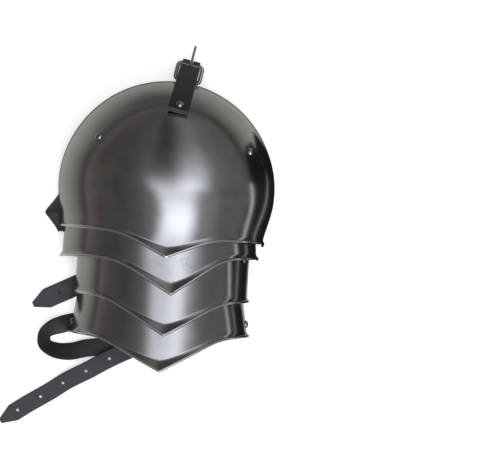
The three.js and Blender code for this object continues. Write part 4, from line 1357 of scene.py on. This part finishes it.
class AddArmLoop(bpy.types.Operator):
    """The arm loop: the short strap, its buckle and the long punched strap"""
    bl_idname = "pauldron.add_arm_loop"
    bl_label = "Arm loop"

    def execute(self, context):
        look = look_of(context)
        dark = dark_leather(look, "loop leather")
        pale = pale_leather(look, "tail leather")
        slot_width = 2 * (TONGUE_RADIUS + SLOT_CLEARANCE)
        slot = box_mesh(ARM_BAR, BUCKLE_ALONG, (4 * FOLD_RADIUS, slot_width, 6 * FOLD_RADIUS))
        new_strap("arm_loop", loop_sections(), [slot], dark, "arm_buckle_strap")
        sections = tail_sections()
        pin_way = unit(np.array([BUCKLE_ALONG[0], BUCKLE_ALONG[1], math.tan(TONGUE_RISE)]))
        pin_middle = ARM_BAR + pin_way * (TONGUE_LENGTH + EYE_RADIUS) / 2
        holes = [bar_mesh(pin_middle, pin_way, TONGUE_RADIUS + SLOT_CLEARANCE, TONGUE_LENGTH)]
        holes += [punch_at(sections, TAIL_FIRST_HOLE + number * TAIL_HOLE_PITCH)
                  for number in range(TAIL_HOLES)]
        new_strap("arm_tail", sections, holes, pale, "arm_strap")
        heading = math.radians(ARM_BUCKLE_TURN - 90)
        frame_points, frame_faces = frame_tube()
        tongue_points, tongue_faces = tongue_tube(EYE_RADIUS - 2 * REST_GAP)
        points, faces = together(
            (turned_about_bar(frame_points, 0, heading, ARM_BAR), frame_faces),
            (turned_about_bar(tongue_points, TONGUE_RISE, heading, ARM_BAR), tongue_faces))
        mesh = mesh_from("buckle", points, faces)
        new_piece("arm_buckle_wire", mesh, bright_wire(look), BODY, ["arm_buckle"])
        return {"FINISHED"}


def group_socket(tree, name, kind, side="INPUT"):
    tree.interface.new_socket(name, in_out=side, socket_type="NodeSocket" + kind)


def rivet_tree():
    """Geometry Nodes that set a dome, a shank and a tail on each point, along the point's way out."""
    tree = bpy.data.node_groups.new("rivets", "GeometryNodeTree")
    group_socket(tree, "Places", "Geometry")
    for name in ("Shank Radius", "Tail Radius", "Tail Height", "Gap"):
        group_socket(tree, name, "Float")
    group_socket(tree, "Sides", "Int")
    group_socket(tree, "Material", "Material")
    group_socket(tree, "Rivets", "Geometry", "OUTPUT")
    given = tree.nodes.new("NodeGroupInput")

    def entry(name):
        return Value(tree, given.outputs[name])

    def attribute(name, kind="FLOAT"):
        return add_node(tree, "GeometryNodeInputNamedAttribute", {"data_type": kind}, {"Name": name})

    def placed_along(shape, rise, radius, height):
        """The shape on every point, moved by a rise along its way out and scaled."""
        offset = add_node(tree, "ShaderNodeVectorMath", {"operation": "SCALE"}, {0: way, "Scale": rise})
        moved = add_node(tree, "GeometryNodeSetPosition", inputs={
            "Geometry": entry("Places"), "Offset": offset})
        size = add_node(tree, "ShaderNodeCombineXYZ", inputs={"X": radius, "Y": radius, "Z": height})
        return add_node(tree, "GeometryNodeInstanceOnPoints", inputs={
            "Points": moved, "Instance": shape, "Rotation": turn, "Scale": size})

    way = attribute("way", "FLOAT_VECTOR")
    turn = add_node(tree, "FunctionNodeAlignRotationToVector", {"axis": "Z"}, {"Vector": way})
    above, below, gap = attribute("above"), attribute("below"), entry("Gap")
    ball = add_node(tree, "GeometryNodeMeshUVSphere", inputs={
        "Segments": entry("Sides"), "Rings": RIVET_RINGS, "Radius": 1.0})
    spot = add_node(tree, "GeometryNodeInputPosition")
    x, y, z = apart(tree, spot)
    halved = add_node(tree, "ShaderNodeCombineXYZ", inputs={"X": x, "Y": y, "Z": z.math("MAXIMUM", 0)})
    dome = add_node(tree, "GeometryNodeSetPosition", inputs={"Geometry": ball, "Position": halved})
    drum = add_node(tree, "GeometryNodeMeshCylinder", inputs={
        "Vertices": entry("Sides"), "Radius": 1.0, "Depth": 1.0})
    parts = [
        placed_along(dome, above, attribute("head_radius"), attribute("head_height") + gap),
        placed_along(drum, (above - below) * 0.5, entry("Shank Radius"), above + below + gap * 3),
        placed_along(drum, -1 * (below + gap + entry("Tail Height") * 0.5), entry("Tail Radius"),
                     entry("Tail Height")),
    ]
    joined = tree.nodes.new("GeometryNodeJoinGeometry")
    for part in parts:
        tree.links.new(part.socket, joined.inputs[0])
    real = add_node(tree, "GeometryNodeRealizeInstances", inputs={"Geometry": Value(tree, joined.outputs[0])})
    finished = add_node(tree, "GeometryNodeSetMaterial", inputs={
        "Geometry": real, "Material": entry("Material")})
    result = tree.nodes.new("NodeGroupOutput")
    tree.links.new(finished.socket, result.inputs["Rivets"])
    return tree


def grown_mesh(places, tree, settings):
    """What a Geometry Nodes tree makes on a mesh of places, as a plain smooth mesh."""
    seed = add_object("places", places)
    modifier = seed.modifiers.new("grown", "NODES")
    modifier.node_group = tree
    for item in tree.interface.items_tree:
        if item.name in settings:
            modifier[item.identifier] = settings[item.name]
    mesh = evaluated_mesh(seed)
    bpy.data.objects.remove(seed)
    return smoothed(mesh)


def rivet_spots():
    """Every rivet: its node, place, way out, stack above and below the plate, and whether it is low."""
    spots = []
    for side, word in ((-1, "left"), (1, "right")):
        point, normal = spot_on(cop, cop_rivet_angle(side), COP_RIVET_RISE, 0)
        depth = seat_depth(STRAP_WIDTH / 2, COP_RADIUS, 0) + LEATHER / 2
        depth += SIDE_LAYER * LAYER if side < 0 else 0
        spots.append((f"cop_rivet_{word}", point, normal, 0, depth, False))
        for lame in lames:
            angle = side * math.radians(lame.shape["rivet_angle"])
            height = lame.top(angle) - lame.shape["rivet_drop"]
            point, normal = spot_on(lame, angle, height, 0)
            depth = seat_depth(INNER_LEATHER_WIDTH / 2, lame.half_width(height), 0) + LEATHER / 2
            name = f"{lame.shape['name']}_rivet_{word}"
            spots.append((name, point, normal, 0, depth, True))
        point, normal = arm_rivet_spot(side)
        spots.append((f"arm_strap_rivet_{word}", point, normal, 0, SHEET + WALL_GAP + LAYER, False))
    point, normal = chape_rivet_spot()
    spots.append(("cop_rivet_top", point, normal, CHAPE_SEAT + 2 * LEATHER + REST_GAP, 2 * SHEET, False))
    return spots


class AddRivets(bpy.types.Operator):
    """Domed rivets, each with its shank and the flattened tail inside"""
    bl_idname = "pauldron.add_rivets"
    bl_label = "Rivets"

    def execute(self, context):
        steel = brushed_steel(look_of(context), "rivet steel", None, False)
        spots = rivet_spots()
        places = bpy.data.meshes.new("rivet places")
        places.from_pydata([tuple(in_frame(point)) for _, point, *_ in spots], [], [])
        ways = places.attributes.new("way", "FLOAT_VECTOR", "POINT")
        ways.data.foreach_set("vector", np.concatenate([normal for _, _, normal, *_ in spots]))
        lengths = {
            "above": [above for *_, above, _, _ in spots],
            "below": [below for *_, below, _ in spots],
            "head_radius": [LOW_HEAD_RADIUS if low else HEAD_RADIUS for *_, low in spots],
            "head_height": [LOW_HEAD_HEIGHT if low else HEAD_HEIGHT for *_, low in spots],
        }
        for name, values in lengths.items():
            attribute = places.attributes.new(name, "FLOAT", "POINT")
            attribute.data.foreach_set("value", [value * MM for value in values])
        mesh = grown_mesh(places, rivet_tree(), {
            "Shank Radius": SHANK_RADIUS * MM,
            "Tail Radius": TAIL_RADIUS * MM,
            "Tail Height": TAIL_HEIGHT * MM,
            "Gap": REST_GAP * MM,
            "Sides": RIVET_SIDES,
            "Material": steel,
        })
        new_piece("rivets_steel", mesh, steel, BODY, [name for name, *_ in spots])
        return {"FINISHED"}


# The stage

# What lights the scene and what the steel mirrors, by direction: the sideways angle from straight up and
# the angle towards the top of the picture, both in degrees, each list as (angle, brightness)
SIDE_WALLS = ((-100, 0.3), (-88, 0.22), (-75, 0.14), (-50, 0.11), (-34, 0.14), (-18, 0.24), (0, 0.14),
              (40, 0.36), (56, 0.26), (76, 0.2), (100, 0.2))
WINDOW_LEFT = ((-24, 0), (-14, 1))
WINDOW_SLANT = 0.34
WINDOW_RIGHT = ((27, 1), (41, 0))
WINDOW_ALONG = ((-88, 1), (-76, 6.5), (-50, 6.5), (-38, 3.2), (-14, 1.6), (-3, 1.45), (5, 0.75), (15, 0))
FRONT_ALONG = ((-90, 1.2), (-70, 1.2), (-58, 0))
COLUMN_ACROSS = ((6, 0), (20, 1), (34, 1), (47, 0))
COLUMN_ALONG = ((-8, 0), (0, 1), (15, 0.82), (28, 0.42), (45, 0.12), (62, 0))
DARK_ACROSS = ((-40, 0), (-6, 1), (6, 1), (36, 0))
DARK_ALONG = ((10, 0), (45, 0.55), (90, 0.55))
RED_ACROSS = ((-92, 0), (-84, 1), (-72, 1), (-64, 0), (-57, 0), (-50, 1), (-44, 0), (-22, 0), (-16, 0.6),
              (-8, 0.6), (-2, 0))
ANGLE_SPAN = 110

# How much narrower the window is on each side, in radians, by the angle towards the top of the picture
WINDOW_NECK = ((-42, 0), (-22, 0.1), (-4, 0.1), (3, 0.03))

# The dark card on the right, in millimetres: along the arm, its lower edge and its upper edge
SIDE_CARD = [(86, 0, 32), (72, 0, 54), (30, 0, 68), (8, 6, 62), (-10, 9, 57), (-45, 10, 50), (-100, 8, 37),
             (-125, 7, 32), (-175, 7, 28)]
SIDE_CARD_AWAY = 150
SIDE_CARD_RIM = 9
SIDE_CARD_RIM_START = 3

# Round parts of the cloth, in millimetres: its painted pool of light, painted shade behind the dome, and a
# painted shadow under it
CLOTH_LIT = ((20, -20, 0), 700)
CLOTH_SHADE_BEHIND = ((-20, 230, 0), 190)
CLOTH_SHADOW_UNDER = ((0, 0, 0), 117)

# In metres from the dome's centre
TABLE_REACH = 2.5
CLOTH_REACH = 2
CLOTH_DROP = 0.0005
SHADOW_DROP = 0.0003
SHADOWS = {
    "shadow": ((0.105, -0.045), (0.15, 0.072)),
    "low_shadow": ((0.088, -0.165), (0.15, -0.045)),
}
LAMP_PLACE = (-0.3, 0.5, 2.0)
LAMP_SIZE = 1.6
CAMERA_ACROSS = (-0.002, -0.041)
CAMERA_AIM = (0.083, -0.036, 0)
SENSOR_WIDTH = 36


def by_angle(tree, angle, stops):
    """A brightness that follows an angle in degrees through a list of stops."""
    places = [((degrees + ANGLE_SPAN) / (2 * ANGLE_SPAN), shade) for degrees, shade in stops]
    share = angle * (1 / (2 * math.radians(ANGLE_SPAN))) + 0.5
    top = max(shade for _, shade in places)
    return ramp(tree, share, *[(place, shade / top) for place, shade in places]) * top


def stage_part(name, points, faces, material):
    mesh = bpy.data.meshes.new(name)
    mesh.from_pydata(points, [], faces)
    mesh.materials.append(material)
    part = add_object(name, mesh)
    part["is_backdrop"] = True
    return part


def flat_sheet(name, low, high, height, material):
    """A flat part of the stage between two corners, in metres from the dome's centre."""
    corners = [(low[0], low[1]), (high[0], low[1]), (high[0], high[1]), (low[0], high[1])]
    centre = in_frame((0, 0, 0))
    points = [(centre[0] + x, centre[1] + y, height) for x, y in corners]
    return stage_part(name, points, [(0, 1, 2, 3)], material)


def wide_sheet(name, reach, height, material):
    return flat_sheet(name, (-reach, -reach), (reach, reach), height, material)


def seen_only_in_steel(sheet):
    sheet.visible_camera = False
    sheet.visible_diffuse = False
    sheet.visible_shadow = False
    sheet.visible_transmission = False


class SetStage(bpy.types.Operator):
    """The white table, what the steel mirrors around it, the room's soft light and the camera above"""
    bl_idname = "pauldron.set_stage"
    bl_label = "Stage"

    def execute(self, context):
        stage = context.scene.pauldron_stage
        origin = Vector(in_frame((0, 0, 0)))
        ground = min(0.0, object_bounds()[0][2])
        self.add_table(stage, ground)
        self.add_cloth(stage, ground)
        self.add_side_card(stage)
        self.add_room(stage)
        self.add_lamp(stage, origin)
        context.scene.camera = self.add_camera(stage, origin)
        context.scene.view_settings.view_transform = "Standard"
        return {"FINISHED"}

    def add_table(self, stage, ground):
        def inputs(tree, place):
            mottle = noise(tree, place, 6, 2)
            light = tuple(stage.table_color)
            return {"Base Color": between_colors(tree, mottle, light, tuple(part * 0.97 for part in light))}
        fixed = {"Roughness": 0.8, "Specular IOR Level": 0.0,
                 "Emission Color": (*stage.table_color, 1), "Emission Strength": stage.table_glow}
        table = wide_sheet("table", TABLE_REACH, ground, new_material("table top", fixed, inputs))
        table.visible_glossy = False

    def add_cloth(self, stage, ground):
        """The dull olive cloth that the steel mirrors, with a painted pool of light that darkens far away,
        painted shade behind the dome and a painted shadow under and close around the dome.
        """
        def inputs(tree, place):
            near = ball_mask(tree, place, *CLOTH_LIT)
            # Painted shade behind the dome, and a painted shadow under the dome and just around it
            behind = ball_mask(tree, place, *CLOTH_SHADE_BEHIND)
            edge = ramp(tree, ball_mask(tree, place, *CLOTH_SHADOW_UNDER), (0, 0), (0.05, 1))
            light = ramp(tree, near, (0.02, 0.14), (0.4, 0.34), (0.6, 0.6), (0.7, 0.85), (0.76, 1))
            shade = (light - behind * 0.45 - edge).clamped()
            return {"Base Color": between_colors(tree, shade, (0.02, 0.02, 0.018), tuple(stage.cloth_color))}
        material = new_material("cloth", {"Roughness": 1.0, "Specular IOR Level": 0.0}, inputs)
        seen_only_in_steel(wide_sheet("cloth", CLOTH_REACH, ground - CLOTH_DROP, material))
        fixed = {"Base Color": (0.02, 0.02, 0.02, 1), "Roughness": 1.0, "Specular IOR Level": 0.0}
        shadow = new_material("shadow", fixed)
        for name, (low, high) in SHADOWS.items():
            seen_only_in_steel(flat_sheet(name, low, high, ground - SHADOW_DROP, shadow))

    def add_side_card(self, stage):
        """What the steel mirrors on its right: a dark upright card with a pale strip over it."""
        pale = [(y, top, top + SIDE_CARD_RIM) for y, _, top in SIDE_CARD[SIDE_CARD_RIM_START:]]
        for name, outline, glow in (("dark_card", SIDE_CARD, 0.0), ("pale_card", pale, stage.rim_glow)):
            fixed = {"Base Color": (0.02, 0.02, 0.022, 1), "Roughness": 0.9,
                     "Emission Color": (1, 1, 1, 1), "Emission Strength": glow}
            points = in_frame([(SIDE_CARD_AWAY, y, z) for y, *edges in outline for z in edges])
            faces = [(2 * row, 2 * row + 1, 2 * row + 3, 2 * row + 2) for row in range(len(outline) - 1)]
            material = new_material(name.replace("_", " "), fixed)
            seen_only_in_steel(stage_part(name, [tuple(point) for point in points], faces, material))

    def add_room(self, stage):
        world = bpy.data.worlds.new("room")
        world.use_nodes = True
        tree = world.node_tree
        toward = add_node(tree, "ShaderNodeTexCoord", output="Generated")
        x, y, z = apart(tree, toward)
        across = x.math("ARCTAN2", z)
        along = y.math("ARCSINE")
        neck = by_angle(tree, along, WINDOW_NECK)
        slanting = across + along * WINDOW_SLANT
        sides = by_angle(tree, slanting - neck, WINDOW_LEFT) * by_angle(tree, across + neck, WINDOW_RIGHT)
        window = sides * by_angle(tree, along, WINDOW_ALONG)
        column = by_angle(tree, across, COLUMN_ACROSS) * by_angle(tree, along, COLUMN_ALONG)
        dark = by_angle(tree, across, DARK_ACROSS) * by_angle(tree, along, DARK_ALONG)
        clutter = noise(tree, toward, 2.6, 3, 0.6, distortion=0.5)
        walls = by_angle(tree, across, SIDE_WALLS) * (1 - dark) * (clutter * 1.3 + 0.35)
        patches = ramp(tree, noise(tree, toward, 3.4, 2, 0.5), (0.38, 0.2), (0.56, 1))
        red = by_angle(tree, across, RED_ACROSS) * patches
        tint = between_colors(tree, red * 0.8, tuple(stage.room_tint), tuple(stage.room_red))
        bright = (window + column).clamped()
        tint = between_colors(tree, bright, tint, tuple(stage.window_tint))
        background = tree.nodes["Background"]
        tree.links.new(tint.socket, background.inputs["Color"])
        front = by_angle(tree, along, FRONT_ALONG)
        tree.links.new((walls + window + column + front).socket, background.inputs["Strength"])
        bpy.context.scene.world = world

    def add_lamp(self, stage, origin):
        """A broad soft lamp above, for the leather and the table: the steel doesn't mirror it."""
        light = bpy.data.lights.new("lamp", "AREA")
        light.shape = "DISK"
        light.size = LAMP_SIZE
        light.energy = stage.lamp_power
        lamp = add_object("lamp", light)
        place = Vector(LAMP_PLACE)
        lamp.location = origin + place
        lamp.rotation_euler = (-place).to_track_quat("-Z", "Y").to_euler()
        lamp.visible_glossy = False

    def add_camera(self, stage, origin):
        camera = bpy.data.cameras.new("camera")
        camera.sensor_width = SENSOR_WIDTH
        camera.lens = camera.sensor_width * stage.camera_height / stage.view_width
        camera.clip_start = 0.05
        camera.clip_end = 20
        eye = add_object("camera", camera)
        above = Vector((*CAMERA_ACROSS, stage.camera_height))
        aim = Vector(CAMERA_AIM)
        eye.location = origin + above
        forward = (aim - above).normalized()
        right = forward.cross(Vector((0, 1, 0))).normalized()
        up = right.cross(forward)
        turn = Matrix((right, up, -forward)).transposed()
        eye.rotation_euler = turn.to_euler()
        return eye


class PauldronPanel(bpy.types.Panel):
    """Lists the pieces and their settings"""
    bl_idname = "VIEW3D_PT_pauldron"
    bl_label = "Pauldron"
    bl_space_type = "VIEW_3D"
    bl_region_type = "UI"
    bl_category = "Pauldron"

    def draw(self, context):
        for operator in OPERATORS:
            self.layout.operator(operator.bl_idname)
        for name in GROUPS:
            group = getattr(context.scene, name)
            for key in group.__annotations__:
                self.layout.prop(group, key)


OPERATORS = [AddPlates, AddInnerLeathers, AddShoulderBuckle, AddSideStrap, AddArmLoop, AddRivets, SetStage]
GROUPS = {"pauldron_look": PauldronLook, "pauldron_mesh": PauldronMesh, "pauldron_stage": PauldronStage}


def register():
    for group in GROUPS.values():
        bpy.utils.register_class(group)
    for name, group in GROUPS.items():
        setattr(bpy.types.Scene, name, PointerProperty(type=group))
    for operator in OPERATORS:
        bpy.utils.register_class(operator)
    bpy.utils.register_class(PauldronPanel)


def unregister():
    bpy.utils.unregister_class(PauldronPanel)
    for operator in reversed(OPERATORS):
        bpy.utils.unregister_class(operator)
    for name in GROUPS:
        delattr(bpy.types.Scene, name)
    for group in reversed(GROUPS.values()):
        bpy.utils.unregister_class(group)


def main():
    register()
    bpy.ops.pauldron.add_plates()
    bpy.ops.pauldron.add_inner_leathers()
    bpy.ops.pauldron.add_shoulder_buckle()
    bpy.ops.pauldron.add_side_strap()
    bpy.ops.pauldron.add_arm_loop()
    bpy.ops.pauldron.add_rivets()
    bpy.ops.pauldron.set_stage()


if __name__ == "__main__":
    main()
